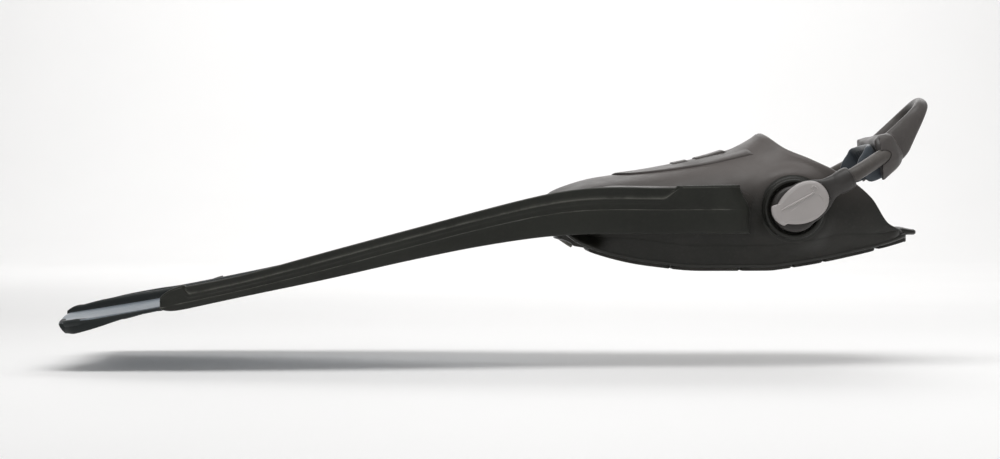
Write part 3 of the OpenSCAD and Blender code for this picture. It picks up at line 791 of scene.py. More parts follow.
def toe_vent():
    """Drain frame under the toe: a rounded grille between two long bars, tilted with the sole's front."""
    low, high = box("toe_vent")
    centre = (low + high) / 2
    slope = math.radians(34)
    forward = Vector((math.cos(slope), 0, -math.sin(slope)))
    out = Vector((-math.sin(slope), 0, -math.cos(slope)))
    half_l, half_w = 6.0, high.y
    frame_r, bar_r = 1.5, 1.1
    bars = [((x, -half_w), (x, half_w), frame_r) for x in (bar_r - half_l, half_l - bar_r)]
    for k in range(7):
        y = mix(-half_w, half_w, k / 6)
        bars.append(((-half_l, y), (half_l, y), frame_r if k in (0, 6) else bar_r))
    shapes = []
    for a, b, r in bars:
        line = mix(np.array(a), np.array(b), np.linspace(0, 1, 12)[:, None])
        world = [centre + forward * x + Vector((0, y, 0)) for x, y in line]
        shapes.append(tube(world, r, np.array(out), around=12, squash=0.8))
    obj = fuse(piece("toe_vent", joined(shapes), "vent_plastic"), 0.5, relax=2, crease=60)
    finish_piece(obj, "fin", "vent_plastic", "toe_vent")


# ---------------------------------------------------------------- foot pocket
pocket = Probe("foot_pocket")
TOE_X = pocket_low.x
HEEL_X = pocket_high.x
WALL = 4.5
post = joint("strap_swing", "pos_m") / MM
seat_low, seat_high = box("buckle_seat_left")
SEAT_Y = -seat_high.y
SEAT_R = (seat_high.x - seat_low.x) / 2
peak = max((v.co for v in frame["nodes"]["foot_pocket"].data.vertices), key=lambda c: c.z) / MM
PEAK_X = peak.x

# Outline of the pocket in plan, as shares of its greatest half-width, from the toe (0) to the rim (1)
plan_share = spline([[0, 0.54], [0.04, 0.775], [0.12, 0.92], [0.3, 0.982], [0.45, 1], [0.7, 0.973], [0.85, 0.91],
                     [1, 0.82]])
# How far the rim bows out of a straight line, from the heel (-1) to the instep (1)
rim_bow = spline([[-1, 0], [-0.77, -3.4], [-0.4, 4], [0, 5.5], [0.4, 2], [0.75, -1.8], [1, 0]])

top_stations = np.linspace(TOE_X + 1, PEAK_X - 1, 30)
pocket_top = spline([[x, pocket.top(x, 0.0)] for x in top_stations])
floor_stations = np.linspace(TOE_X + 9, HEEL_X - 2, 34)
pocket_floor = spline([[x, pocket.bottom(x, 0.0)] for x in floor_stations])


def pocket_ends(u):
    """Top and bottom [x, z] of the pocket's loop u, which leans back from the toe (0) to the rim (1)."""
    top_x = mix(TOE_X, PEAK_X, u)
    low_x = mix(TOE_X + 8, HEEL_X, u)
    top_z = pocket_top(top_x) + (peak.z - pocket_top(PEAK_X)) * ease(u, 0.97, 1)
    return np.array([top_x, top_z]), np.array([low_x, pocket_floor(low_x) - 0.8])


def skin(u, angles, off=0.0):
    """Points of the pocket's skin at loop u, moved out by off."""
    top, low = pocket_ends(u)
    lean = unit(top - low)
    normal = np.array([lean[1], -lean[0]])
    power = np.where(np.sin(angles) > 0, 2 / 2.3, 2 / 2.8)
    up, side = spow(np.sin(angles), power), spow(np.cos(angles), power)
    half = np.linalg.norm(top - low) / 2 + off * 1.1
    place = ((top + low) / 2 + lean * (half * up)[:, None]
             + normal * (rim_bow(up) * ease(u, 0.62, 1))[:, None])
    y = (plan_share(u) * pocket_high.y + off) * side
    if off > -WALL / 2:
        y = boss(y, place[:, 0], place[:, 1])
    return np.stack([place[:, 0], y, place[:, 1]], axis=1)


def boss(y, x, z):
    """The skin swells out to a flat boss under the buckle seat, and a soft step runs along its lower side."""
    d = np.hypot(x - post.x, z - post.z)
    on_side = ease(np.abs(y), 25, 38)
    flat = (1 - ease(d, SEAT_R + 1.5, SEAT_R + 13)) * on_side
    swollen = mix(np.abs(y), SEAT_Y - 0.2, flat)
    ahead = x - post.x + 25 - 0.12 * (z - post.z)
    fold = np.exp(-(ahead / 2.2)**2) - 0.8 * np.exp(-((ahead + 5) / 2.4)**2)
    tall = ease(z, 20, 34) * (1 - ease(z, 50, 62))
    return np.sign(y) * (swollen + 1.1 * fold * tall * on_side)


def foot_pocket():
    around = 168
    angles = circle(around)
    shares = np.concatenate([[0, 0.006, 0.014], np.linspace(0.024, 0.985, 96), [0.993, 1.0]])
    rows = []
    first = skin(0.0, angles)
    middle = first.mean(axis=0)
    for k in np.linspace(0, 1, 7)[1:-1]:
        shrink = math.sqrt(1 - (1 - k)**2)
        ring = middle + (first - middle) * shrink
        ring[:, 0] -= 2.6 * (1 - k)**1.2
        rows.append(ring)
    for u in shares:
        rows.append(skin(u, angles))
    lip = 1 / 6
    outer, inner = skin(1.0, angles), skin(1.0, angles, -WALL)
    top, low = pocket_ends(1.0)
    lean = unit(top - low)
    away = np.array([lean[1], 0, -lean[0]])
    for k in np.arange(lip, 1, lip):
        rows.append(mix(outer, inner, (1 - math.cos(math.pi * k)) / 2) + away * 1.6 * math.sin(math.pi * k))
    for u in shares[::-1]:
        if u > 0.03:
            rows.append(skin(u, angles, -WALL))
    obj = piece("foot_pocket", closed(rows), "pocket_rubber", 70)
    finish_piece(obj, "fin", "pocket_rubber", "foot_pocket")
    return tree_of(obj.data)


def toe_apron():
    """Rubber apron moulded over the blade's root: it rounds off over the blade and climbs to the toe and the rails."""
    rows_top, rows_low = [], []
    shares = np.linspace(-1, 1, 81)
    toe_half = 0.92 * pocket_high.y
    for k in np.linspace(0, 1, 34):
        top_row, low_row = [], []
        for v in shares:
            front = TOE_X - 26 - 20 * abs(v)**2.2
            x = mix(front, -96, k)
            half = rail_out(x) - 8.5
            y = v * half
            ground = web_top(min(x, root_x), v * half / web_half(min(x, root_x)))
            toe = math.hypot(max(TOE_X + 26 - x, 0) / 27, y / toe_half)
            climb = 13 * ease(1.45 - toe, 0, 0.5)
            flank = 7 * ease(abs(v), 0.72, 1.0) * ease(k, 0.0, 0.5)
            edge = math.sqrt(min(k / 0.06, 1))
            top_row.append((x, y, ground + 2.1 * edge + max(climb, flank) * edge))
            low_row.append((x, y, ground - 0.6))
        rows_top.append(top_row)
        rows_low.append(low_row)
    rows = [np.concatenate([t, np.array(l)[::-1]]) for t, l in zip(rows_top, rows_low)]
    part("toe_apron", closed(rows), "pocket_rubber", stands_for=())


def side_fairings():
    """Rubber that fills the space between the pocket's sides and the rails, dished on top."""
    rows = []
    for x in np.linspace(-136, rail_rear + 12, 70):
        tail = ease(x, rail_rear - 14, rail_rear + 12)
        on_rail = min(x, rail_rear - 12)
        out = mix(rail_out(on_rail) - 7, SEAT_Y - 2, tail)
        inner = out - 26
        ground = web_top(min(x, root_x), 0.9)
        high = mix(mix(ground - 3.5, rail_top(on_rail) - 1.5, ease(x, -137, -92)), 52, tail)
        low = mix(ground - 5, rail_bottom(on_rail) + 2, ease(x, -137, -118))
        section = [(out, low), (out, mix(low, high, 0.5)), (out, high - 1), (out - 1, high), (out - 4, high + 0.4),
                   (out - 9, high + 2.5), (inner, high + 2.5), (inner, low)]
        rows.append([(x, y, z) for y, z in section])
    pair("side_fairing", closed(rows), "pocket_rubber", stands_for=())


# ---------------------------------------------------------------- instep
PANEL_TIP_X = 14.5
panel_line = spline([[-88, 68.9], [-50, 72.6], [-18, 77.5], [PANEL_TIP_X, 84.9]])


def outward_at(u, points):
    """Outward directions at points of the pocket's loop u, near its top."""
    top, low = pocket_ends(u)
    out = unit(points - np.array([(top + low)[0] / 2, 0, (top + low)[1] / 2]))
    out[:, 1] *= 0.55
    return unit(out)


def panel_spread(u):
    """Angle from the top down to the panel's lower edge at loop u, and the x of that edge."""
    angles = np.radians(np.linspace(90, 20, 71))
    points = skin(u, angles)
    above = points[:, 2] - panel_line(points[:, 0])
    i = int(np.argmax(above < 0)) if (above < 0).any() else len(angles) - 1
    i = max(i, 4)
    share = np.clip(above[i - 1] / (above[i - 1] - above[i]), 0, 1) if above[i - 1] > 0 > above[i] else 1.0
    return math.pi / 2 - mix(angles[i - 1], angles[i], share), mix(points[i - 1, 0], points[i, 0], share)


def instep_panel():
    """Raised patch on the instep. Its lower edges stay crisp up to their tips; behind, its middle runs out level."""
    start = (-88 - TOE_X) / (PEAK_X - TOE_X)
    shares = [u for u in np.linspace(start, 0.97, 150) if panel_spread(u)[1] < PANEL_TIP_X]
    rows = []
    share = np.linspace(-1, 1, 81)
    for u in shares:
        k = (u - shares[0]) / (shares[-1] - shares[0])
        wide = panel_spread(u)[0] * math.sqrt(min(k / 0.16, 1) * (2 - min(k / 0.16, 1)) + 0.01)
        edge = np.sqrt(np.clip((1 - np.abs(share)) / 0.05, 0, 1))
        ends = math.sqrt(min(k / 0.04, (1 - k) / 0.015, 1))
        fade = 1 - ease(k, 0.72, 0.96) * (1 - ease(np.abs(share), 0.6, 0.92))
        base = skin(u, math.pi / 2 - share * wide)
        out = outward_at(u, base)
        upper = base + out * (1.5 * edge * ends * fade + 0.04)[:, None]
        rows.append(np.concatenate([upper, (base - out * 1.2)[::-1]]))
    part("instep_panel", closed(rows), "panel_rubber", 45)


def instep_rib(start_x, end_x, name):
    """Low strip across the panel's crown, with three grip grooves along it."""
    rows = []
    share = np.linspace(-1, 1, 65)
    for k in np.linspace(0, 1, 40):
        u = (mix(start_x, end_x, k) - TOE_X) / (PEAK_X - TOE_X)
        edge = np.sqrt(np.clip((1 - np.abs(share)) / 0.09, 0, 1)) * math.sqrt(min(k / 0.05, (1 - k) / 0.05, 1))
        groove = np.minimum.reduce([np.clip(np.abs(share - g) / 0.05, 0, 1) for g in (-0.45, 0.0, 0.45)])
        rise = 1.2 + 1.5 * edge - 0.7 * (1 - groove) * edge
        base = skin(u, math.pi / 2 - share * math.radians(13))
        out = outward_at(u, base)
        rows.append(np.concatenate([base + out * rise[:, None], (base + out * 0.7)[::-1]]))
    part(name, closed(rows), "panel_rubber", 45, stands_for=("instep_ribs",))


# ---------------------------------------------------------------- joints between sole and pocket
def sole_rand(skin_tree):
    """Rubber rand that closes the wedge between the sole's edge and the rounded underside of the pocket."""
    rows = []
    for x in np.linspace(sole.low.x + 5, sole.high.x - 4, 120):
        low, half = sole_under(x), sole_half(x)
        climb = mix(13, 5, ease(x, 70, 118)) * mix(0.5, 1, ease(x, -110, -70))
        top_y = max(side_reach(skin_tree, x, low + SOLE_T + climb), half - 9) + 0.2
        tuck = ease(x, sole.high.x - 13, sole.high.x - 4)
        climb *= 1 - 0.15 * tuck
        base = np.array([half - 0.5 - 4 * tuck, low + SOLE_T * 0.55])
        top = np.array([top_y, low + SOLE_T + climb])
        curve = bezier([base, base + [0.9, 0.35 * climb], top + [0.25 * (half - top_y), -0.45 * climb], top],
                       np.linspace(0, 1, 14))
        back = [(top_y - 3.5, top[1] - 0.2), (min(top_y, half) - 10, base[1])]
        rows.append([(x, y, z) for y, z in list(curve) + back])
    pair("sole_rand", closed(rows), "pocket_rubber", stands_for=())


def toe_block():
    """Rubber block that carries the toe vent: it fills the corner between the blade, the sole's front and the rails."""
    low, high = box("toe_vent")
    half = high.y + 9
    rows = []
    for y in np.linspace(-half, half, 41):
        s = abs(y) / half
        pull = 5 * (1 - math.sqrt(max(1 - s**4, 0)))
        front = low.x - 2.5 + pull
        rear = high.x + 4
        z_front = web_line(front) if front < root_x else web_line(root_x)
        section = [(front, z_front), (front + 0.6, low.z + 0.78 * (high.z - low.z)),
                   (mix(front, rear, 0.5), mix(low.z, high.z, 0.50)), (high.x + 1, low.z + 1.1),
                   (rear + 7, sole_under(rear + 7) - 0.4), (rear + 14, high.z + 6)]
        rows.append([(x, y, z) for x, z in section])
    part("toe_block", closed(rows), "sole_plastic", 30, stands_for=())


# ---------------------------------------------------------------- buckle
reach = joint("strap_stretch", "axis")
rise = Vector((-reach.z, 0, reach.x))
SEAT_FACE = -seat_low.y
cap_low, cap_high = box("release_cap_left")
CAP_OUT, CAP_IN = -cap_low.y, -cap_high.y
ARM_IN = -box("buckle_arm_left")[1].y
ARM_OUT = CAP_IN - 0.6


def strap_place(u, y, v):
    """Point at u along the arms, v square to them, and y across the fin."""
    at = post + reach * u + rise * v
    return (at.x, y, at.z)


def strap_range(node):
    """Lowest and highest (u, y, v) of a CAD node in the strap's own directions."""
    corners = np.array([v.co / MM - post for v in frame["nodes"][node].data.vertices])
    local = np.stack([corners @ np.array(reach), corners[:, 1], corners @ np.array(rise)], axis=1)
    return local.min(axis=0), local.max(axis=0)


def buckle_seats():
    """Round rubber seat with a rounded lip, a skirt that runs out into the pocket and a recessed floor."""
    profile = [(0.0, -2.9), (17.4, -2.9), (17.95, -2.6), (18.0, -1.7), (18.3, -0.8), (18.9, -0.2), (19.7, 0.0),
               (20.5, -0.15), (21.2, -0.65), (21.65, -1.5), (21.85, -2.6), (22.1, -3.6), (22.9, -4.4), (24.4, -5.0),
               (24.4, -6.5), (0.0, -6.5)]
    seat = turned(profile, lambda a, b, h: (post.x + a, SEAT_FACE + h, post.z + b), 120)
    pair("buckle_seat", seat, "seat_plastic", 50)


def cut(obj, tools):
    """Cuts the given shapes out of obj."""
    for i, shape in enumerate(tools):
        tool = piece(f"tool_{i}", shape, "arm_plastic")
        boolean = obj.modifiers.new("cut", "BOOLEAN")
        boolean.operation = "DIFFERENCE"
        boolean.object = tool
        boolean.solver = "EXACT"
        bake(obj, 40)
        bpy.data.objects.remove(tool)


hinge = joint("cap_lift_left", "pos_m") / MM
HINGE_U = (hinge - post).dot(reach)
HINGE_Y = -hinge.y
ferrule_low, ferrule_high = strap_range("cord_ferrule_left")
CORD_Y = -(ferrule_low[1] + ferrule_high[1]) / 2
cord_high = strap_range("elastic_cord_middle")[1]
CORD_R = cord_high[2]
# Radius of the lugs that hold the cap's hinge pin, and how far they stand from the arm's middle line
LUG_R, LUG_V = 1.6, 5.6


# Half-width of the arm's neck above and below its middle line
arm_upper = spline([[4, 15.6], [12, 15.0], [20.5, 12.2], [27, 8.9], [33, 8.2], [44, 7.4]])
arm_lower = spline([[4, 15.6], [14, 14.4], [22.8, 11.2], [28, 8.2], [33, 7.3], [44, 7.0]])


def arm_disc(u, r):
    """Circle of radius r round the cord's line, at u along the right arm."""
    return [strap_place(u, CORD_Y + r * math.cos(a), r * math.sin(a)) for a in circle(48)]


def arm_shape():
    """Right arm: a round head, a waisted neck, a collar that grips the cord, and two lugs for the cap's pin."""
    head = [(0.0, ARM_IN), (15.6, ARM_IN), (16.4, ARM_IN + 0.8), (16.6, ARM_OUT - 2.6), (16.1, ARM_OUT - 1.1),
            (15.0, ARM_OUT - 0.2), (13.6, ARM_OUT), (0.0, ARM_OUT)]
    neck = []
    for u in np.linspace(4, 42, 40):
        to_collar = ease(u, 20, 36)
        inner, outer = mix(ARM_IN + 1.6, CORD_Y - 7.2, to_collar), mix(ARM_OUT, CORD_Y + 7.2, to_collar)
        power = mix(0.35, 0.95, to_collar)
        neck.append([strap_place(u, (inner + outer) / 2 + (outer - inner) / 2 * spow(math.cos(a), power),
                                 (arm_upper if math.sin(a) > 0 else arm_lower)(u) * spow(math.sin(a), power))
                     for a in circle(40)])
    collar = [arm_disc(u, r) for u, r in ((31.5, 6.6), (33.0, 7.3), (35.0, 8.0), (37.5, 8.4), (41.0, 8.5),
                                          (44.4, 8.35), (45.3, 8.0), (46.1, 7.4), (46.5, 6.9))]
    foot = ARM_OUT - 1
    half_turn = np.linspace(0, math.pi, 12)
    lug = [(HINGE_U + LUG_R * math.cos(a), HINGE_Y + LUG_R * math.sin(a)) for a in half_turn]
    lug += [(HINGE_U - LUG_R, foot), (HINGE_U + LUG_R, foot)]
    lugs = [closed([[strap_place(u, y, v + k) for u, y in lug] for k in (-1.35, 1.35)]) for v in (-LUG_V, LUG_V)]
    return joined([turned(head, arm_place, 72), closed(neck), closed(collar)] + lugs)


def arm_place(u, v, y):
    return strap_place(u, y, v)


def arm_tools():
    """What is cut out of the right arm: the post's bore, the latch plate's slot and the cord's bore."""
    bore = [(0.0, ARM_IN - 2), (6.15, ARM_IN - 2), (6.15, ARM_OUT + 1), (0.0, ARM_OUT + 1)]
    low, high = strap_range("latch_plate_right")
    corners = [(y, v) for y, v in ((low[1] - 0.2, low[2] - 0.25), (low[1] - 0.2, high[2] + 0.25),
                                   (high[1] + 0.2, high[2] + 0.25), (high[1] + 0.2, low[2] - 0.25))]
    slot = closed([[strap_place(u, y, v) for y, v in corners] for u in (-0.5, 29.5)])
    return [turned(bore, arm_place, 64), slot, closed([arm_disc(u, 6.52) for u in (37.5, 50)])]


def buckle_arms():
    shape, tools = arm_shape(), arm_tools()
    for side, sign in SIDES:
        obj = fuse(piece(f"buckle_arm_{side}", flipped(shape, sign), "arm_plastic"), 0.42, relax=7)
        cut(obj, [flipped(tool, sign) for tool in tools])
        finish_piece(obj, "strap", "arm_plastic", f"buckle_arm_{side}")


CAP_CENTRE = (4.5, 1.2)


def cap_outline(count=288):
    """Cap outline as distances from its centre: an egg-shaped body and a finger nose cut to the seat's rim."""
    body = [(-9.7, 9.4), (-3.9, 12.4), (3.5, 14.4), (10.9, 14.8), (17.9, 12.8), (23.0, 8.2), (25.0, 1.4),
            (23.7, -5.4), (18.5, -10.6), (11.5, -12.9), (5.5, -13.0), (-0.9, -11.6), (-6.6, -8.9), (-11.0, -5.9)]
    nose = [(-11.0, -5.9), (-12.9, -6.2), (-13.9, -5.7), (-15.6, -3.0), (-16.9, 0.9), (-16.9, 4.6), (-15.7, 8.2),
            (-14.6, 9.9), (-13.6, 10.3), (-9.7, 9.4)]
    t = np.linspace(0, len(body) - 1, 220)
    k = np.arange(len(body))
    smooth = np.stack([spline(np.stack([k, [q[i] for q in body]], axis=1))(t) for i in (0, 1)], axis=1)
    loop = np.concatenate([smooth, nose[1:]]) - CAP_CENTRE
    angle = np.unwrap(np.arctan2(loop[:, 1], loop[:, 0]))
    order = np.argsort(-angle)
    turns = np.linspace(0, TURN, count, endpoint=False)
    angle, radius = angle[order][::-1], np.hypot(*loop.T)[order][::-1]
    return turns, np.interp(turns, angle, radius, period=TURN)


def cap_crown(u, v):
    """Distance of the cap's domed face from the middle plane."""
    return CAP_OUT - 0.9 * (((u - 6) / 22)**2 + ((v - 1) / 17)**2)


def cap_mark(marks, r):
    """Fine raised line of radius r along the (u, v) marks on the right cap's face."""
    track = np.array(marks)
    k = np.linspace(0, len(track) - 1, 60)
    u, v = (np.interp(k, np.arange(len(track)), track[:, i]) for i in (0, 1))
    for _ in range(4):
        u[1:-1], v[1:-1] = (u[:-2] + 2 * u[1:-1] + u[2:]) / 4, (v[:-2] + 2 * v[1:-1] + v[2:]) / 4
    path = [strap_place(a, cap_crown(a, b) + 0.15 * r, b) for a, b in zip(u, v)]
    ends = np.clip(np.minimum(k, k[::-1]) * 18 / k[-1] + 0.25, 0, 1)
    return tube(path, r * np.sqrt(ends), (0, 1, 0), around=14)


def release_caps():
    """Satin cap: slightly domed, with a rounded edge, a fine raised bar and a small arc near the hinge."""
    t, radius = cap_outline()
    wall, roof_in = 1.5, CAP_OUT - 1.5

    def ring(r, height=None, drop=0.0):
        """Outline of radius r: at a height, or on the domed face, or as far below the face's edge as drop says."""
        u, v = CAP_CENTRE[0] + r * np.cos(t), CAP_CENTRE[1] + r * np.sin(t)
        if height is not None:
            y = np.full(len(t), height)
        elif drop:
            y = cap_crown(CAP_CENTRE[0] + radius * np.cos(t), CAP_CENTRE[1] + radius * np.sin(t)) - drop
        else:
            y = cap_crown(u, v)
        return [strap_place(a, c, b) for a, c, b in zip(u, y, v)]

    rows = [ring(radius * k) for k in (0.02, 0.12, 0.25, 0.4, 0.55, 0.68)] + [ring(radius - k) for k in (2.9, 2.3)]
    rows += [ring(radius - inset, drop=drop) for inset, drop in ((2.0, 0.04), (1.7, 0.16), (0.7, 0.75), (0.3, 1.05),
                                                                 (0.05, 1.5), (0, 2.0))]
    rows += [ring(radius - inset, height) for inset, height in (
        (0, CAP_IN + 0.3), (0.3, CAP_IN), (wall - 0.2, CAP_IN), (wall, CAP_IN + 0.3), (wall, roof_in))]
    rows.append(ring(radius * 0.02, roof_in))
    shape = joined([closed(rows), cap_mark([(-10.2, 4.7), (14.6, 3.9), (16.0, 4.2), (16.6, 5.6)], 0.72),
                    cap_mark([(15.8, 7.6), (17.6, 8.5), (19.3, 7.5), (20.0, 4.6)], 0.5),
                    cap_mark([(17.0, 2.2), (18.9, 0.8), (19.7, -1.7), (19.3, -4.2)], 0.28)])
    for side, sign in SIDES:
        part(f"release_cap_{side}", flipped(shape, sign), "cap_silver", 48, body=f"cap_{side}")


# ---------------------------------------------------------------- strap
PAD_REACH = cord_high[0] - CORD_R
PAD_MOUTH = PAD_REACH - 12
PAD_ENTRY_Y = 44
middle_half = [[PAD_MOUTH, -PAD_ENTRY_Y, 0], [PAD_REACH - 2, -PAD_ENTRY_Y + 6, 0],
               [PAD_REACH, -22, 0], [PAD_REACH, 0, 0]]
side_run = [[45, -CORD_Y, 0], [56, -CORD_Y, 0], [PAD_REACH - 22, -PAD_ENTRY_Y - 5.6, 0],
            [PAD_REACH - 12.5, -PAD_ENTRY_Y - 0.3, 0]]


def mirrored(half_path):
    """A path from the left side to the middle plane, carried on to the right side."""
    half_path = np.asarray(half_path)
    return np.concatenate([half_path, half_path[-2::-1] * [1, -1, 1]])


def in_strap(points):
    return np.array([strap_place(u, y, v) for u, y, v in points])


def elastic_cord():
    """One run of cord from collar to collar: it stretches between the strap's arms and the heel pad."""
    start = [[u, -CORD_Y, 0] for u in np.linspace(38.5, 44, 5)]
    half = np.concatenate([start, bezier(side_run, np.linspace(0, 1, 40)), bezier(middle_half, np.linspace(0.04, 1, 40))])
    obj = piece("elastic_cord", tube(in_strap(mirrored(half)), CORD_R, rise, around=32), "cord_rubber", 60)
    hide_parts("elastic_cord_left", "elastic_cord_right", "elastic_cord_middle")
    start, end = (tuple(Vector(strap_place(u, 0, 0)) * MM) for u in (46.5, PAD_MOUTH))
    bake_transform(obj)


def heel_pad():
    """Moulded pad round the heel, in one with the finger loop: oblique mouths, a chamfer below, two broad gussets."""
    path = mirrored(bezier(middle_half, np.linspace(0, 1, 30)))
    d = directions(path)
    outward = unit(np.cross([0, 0, 1], d))
    outward *= np.sign(outward[len(path) // 2, 0])
    signed = np.linspace(-1, 1, len(path))
    t = circle(64)
    rows = []
    for p, o, s, forward in zip(path, outward, np.abs(signed), d * np.sign(signed)[:, None]):
        high, low = mix(12.4, 14.6, s**2), mix(11.5, 15.8, s**1.5)
        outer = mix(8.3, 3.0, ease(s, 0.70, 0.98))
        ring = []
        for a in t:
            v = (high if math.sin(a) > 0 else low) * spow(math.sin(a), 0.5)
            w = (outer if math.cos(a) > 0 else 7.3) * spow(math.cos(a), 0.5)
            if w > 0:
                w -= 3.6 * np.clip((-v - 6) / 9, 0, 1) + 1.2 * ease(v, 8, high)
            lean = 0.42 * v * ease(s, 0.45, 1) * np.array([1, 0, 0])
            ring.append(p + o * w + forward * 0.6 * w * ease(s, 0.7, 1) + lean + np.array([0, 0, v]))
        rows.append(in_strap(ring))
    obj = fuse(piece("heel_pad", joined([closed(rows), pull_loop()]), "pad_rubber"), 0.6, relax=14)
    tunnel = np.concatenate([bezier(side_run, np.linspace(0.3, 1, 16)), bezier(middle_half, np.linspace(0.04, 1, 30))])
    cut(obj, [tube(in_strap(mirrored(tunnel)), CORD_R + 0.5, rise, around=36)])
    finish_piece(obj, "heel", "pad_rubber", "heel_pad", "pull_loop")


def heel_liner():
    """Smooth cushion inside the pad, with a leaf-shaped wing forward of each mouth and shallow cross channels."""
    inner = mirrored(bezier(middle_half, np.linspace(0.12, 1, 24)))
    outward = unit(np.cross([0, 0, 1], directions(inner)))
    outward *= np.sign(outward[len(inner) // 2, 0])
    inner = inner - outward * (CORD_R + 5.0)
    wing = [[PAD_REACH - 30, -35.8, 0], [PAD_REACH - 24, -35.3, 0], [PAD_REACH - 18, -34.5, 0]]
    path = np.concatenate([wing, inner, [[u, -y, v] for u, y, v in wing[::-1]]])
    count = 170
    fine = np.array([np.interp(np.linspace(0, len(path) - 1, count), np.arange(len(path)), path[:, k])
                     for k in range(3)]).T
    for _ in range(30):
        fine[1:-1] = (fine[:-2] + 2 * fine[1:-1] + fine[2:]) / 4
    outward = unit(np.cross([0, 0, 1], directions(fine)))
    outward *= np.sign(outward[count // 2, 0])
    upper = spline([[-30, 3.0], [-26, 5.6], [-20, 8.8], [-14, 10.8], [-7, 11.6], [0, 11.2]])
    lower = spline([[-30, 8.0], [-28, 11.0], [-24, 12.8], [-16, 13.8], [-7, 13.6], [0, 12.0]])
    rows = []
    for p, o, s in zip(fine, outward, np.linspace(-1, 1, count)):
        depth = p[0] - PAD_REACH + 10.5 * ease(p[0], PAD_REACH - 20, PAD_REACH - 12)
        end = math.sqrt(np.clip((1 - abs(s)) / 0.03, 0.01, 1))
        high, low = upper(depth) * mix(0.4, 1, end), lower(depth) * mix(0.4, 1, end)
        thick = 1.9 * mix(0.4, 1, end)
        channel = 1 - min(abs(math.sin(s * 26)) / 0.25, 1)
        ring = []
        for a in circle(44):
            v = (high if math.sin(a) > 0 else low) * spow(math.sin(a), 0.5)
            w = thick * spow(math.cos(a), 0.6)
            if w < 0:
                w += 0.5 * channel * ease(9 - abs(v), 0, 3) * ease(0.8 - abs(s), 0, 0.1)
            ring.append(p + o * w + np.array([0, 0, v]))
        rows.append(in_strap(ring))
    part("heel_liner", closed(rows), "liner_rubber", body="heel")


def pull_loop():
    """Shape of the finger loop: a bent bar that widens into two gussets, which start inside the pad's back."""
    loop_low, loop_high = strap_range("pull_loop")
    bar_r = 4.8
    half_y = loop_high[1] - bar_r
    end_u, end_v = loop_high[0] - bar_r, 16.8
    base_u, base_v = PAD_REACH + 5.5, 1.4
    lean = unit([end_u - base_u, end_v - base_v])
    normal = np.array([-lean[1], 0, lean[0]])
    length = math.hypot(end_u - base_u, end_v - base_v)
    turn = 19
    path = [[base_u + lean[0] * k, -half_y, base_v + lean[1] * k] for k in np.linspace(-9, length - turn, 22)]
    for a in np.linspace(-math.pi / 2, 0, 22)[1:]:
        k = length - turn + turn * spow(math.cos(a), 0.92)
        path.append([base_u + lean[0] * k, half_y * spow(math.sin(a), 0.92), base_v + lean[1] * k])
    path = mirrored(path)
    across = unit(np.cross(normal, directions(path)))
    along_loop = ((path[:, 0] - base_u) * lean[0] + (path[:, 2] - base_v) * lean[1]) / length
    width = spline([[-0.3, 9.0], [-0.1, 10.8], [0.03, 11.0], [0.2, 9.8], [0.45, 7.9], [0.7, 6.2], [0.85, 5.4], [1, 5.1]])
    rows = []
    for p, a, k in zip(path, across, along_loop):
        wide = width(k)
        thick = mix(5.4, 4.5, ease(k, 0, 0.6))
        rows.append(in_strap([p + a * thick * spow(math.cos(q), 0.85)
                              + normal * wide * spow(math.sin(q), 0.85)
                              for q in circle(32)]))
    return closed(rows)


# ---------------------------------------------------------------- CAD pieces that stay
def finish_hardware():
    """Gives every CAD piece that is still shown its own material."""
    for part in frame["record"]["subparts"]:
        node = frame["nodes"][part["node"]]
        if node.hide_render:
            continue
        node.data.materials.clear()
        node.data.materials.append(look[part["material_slot"]])
        finish_shading(node.data, 35)


blade_panel()
flex_ribs()
edge_keels()
side_rails()
sole_plate()
treads()
heel_tab()
toe_vent()
toe_block()
sole_rand(foot_pocket())
toe_apron()
side_fairings()
instep_panel()
instep_rib(-43, -32, "instep_rib_front")
instep_rib(-26.5, -5, "instep_rib_rear")
buckle_seats()
buckle_arms()
release_caps()
elastic_cord()
heel_pad()
heel_liner()
finish_hardware()


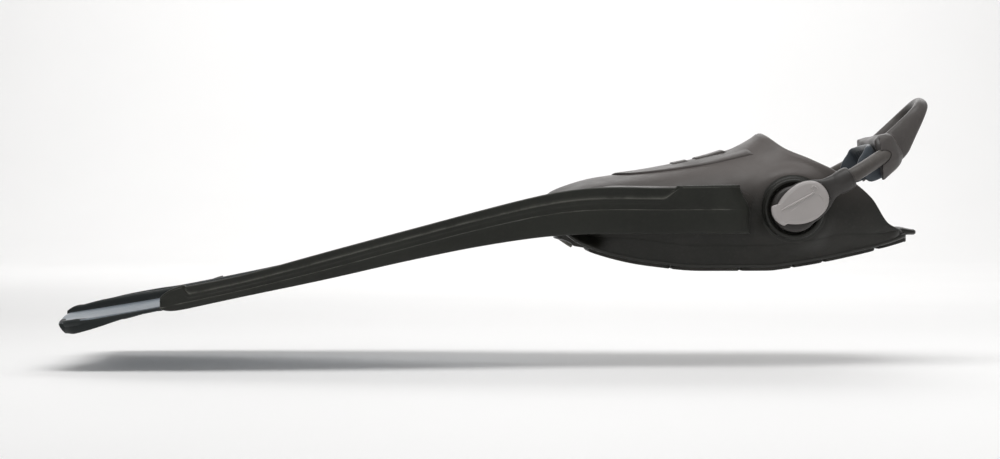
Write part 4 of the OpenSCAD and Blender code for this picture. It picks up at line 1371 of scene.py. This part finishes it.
# ---------------------------------------------------------------- stage
def studio():
    """Plain pale floor that curves up into the background, soft light from above, camera at the side."""
    scene = bpy.context.scene
    scene.view_settings.view_transform = "Standard"
    scene.view_settings.look = "None"
    floor_z, depth, bend = -68, 2600, 1200
    arc = [(depth + bend * math.sin(a), floor_z + bend * (1 - math.cos(a))) for a in np.linspace(0, TURN / 4, 24)]
    section = [(-4000, floor_z)] + arc + [(depth + bend, floor_z + 6000)]
    piece("floor", lattice([[(x, y, z) for y, z in section] for x in (-6000, 6000)]), "floor", crease=80)

    world = bpy.data.worlds.new("studio")
    world.use_nodes = True
    world.node_tree.nodes["Background"].inputs["Color"].default_value = (1, 1, 1, 1)
    world.node_tree.nodes["Background"].inputs["Strength"].default_value = 0.32
    scene.world = world

    softbox("key_light", (-0.15, -0.25, 1.3), (-0.15, 0.05, 0.0), (1.5, 0.7), 13.5)
    softbox("front_light", (-0.5, -2.2, 0.9), (-0.15, 0.0, 0.02), (1.6, 0.7), 4.0)
    softbox("back_light", (0.3, 1.3, 1.1), (0.0, 0.0, 0.0), (1.6, 0.6), 8.0)
    softbox("backdrop_light", (-0.15, 1.9, 1.7), (-0.15, 3.7, 0.3), (3.2, 1.0), 40.0)

    camera_data = bpy.data.cameras.new("camera")
    camera = bpy.data.objects.new("camera", camera_data)
    scene.collection.objects.link(camera)
    distance = 1.5
    view_width = 0.7425
    middle = Vector((-0.1708, 0.0, 0.0297))
    camera.location = (-0.171, -distance, 0.045)
    camera.rotation_euler = (math.radians(90), 0, 0)
    camera_data.sensor_width = 36
    camera_data.lens = 36 * distance / view_width
    camera_data.shift_x = (middle.x - camera.location.x) / view_width
    camera_data.shift_y = (middle.z - camera.location.z) / view_width
    camera_data.clip_start = 0.01
    scene.camera = camera


def softbox(name, place, target, size, power):
    data = bpy.data.lights.new(name, "AREA")
    data.shape = "RECTANGLE"
    data.size, data.size_y = size
    data.energy = power
    light = bpy.data.objects.new(name, data)
    bpy.context.scene.collection.objects.link(light)
    light.location = place
    light.rotation_euler = (Vector(target) - Vector(place)).to_track_quat("-Z", "Y").to_euler()


studio()
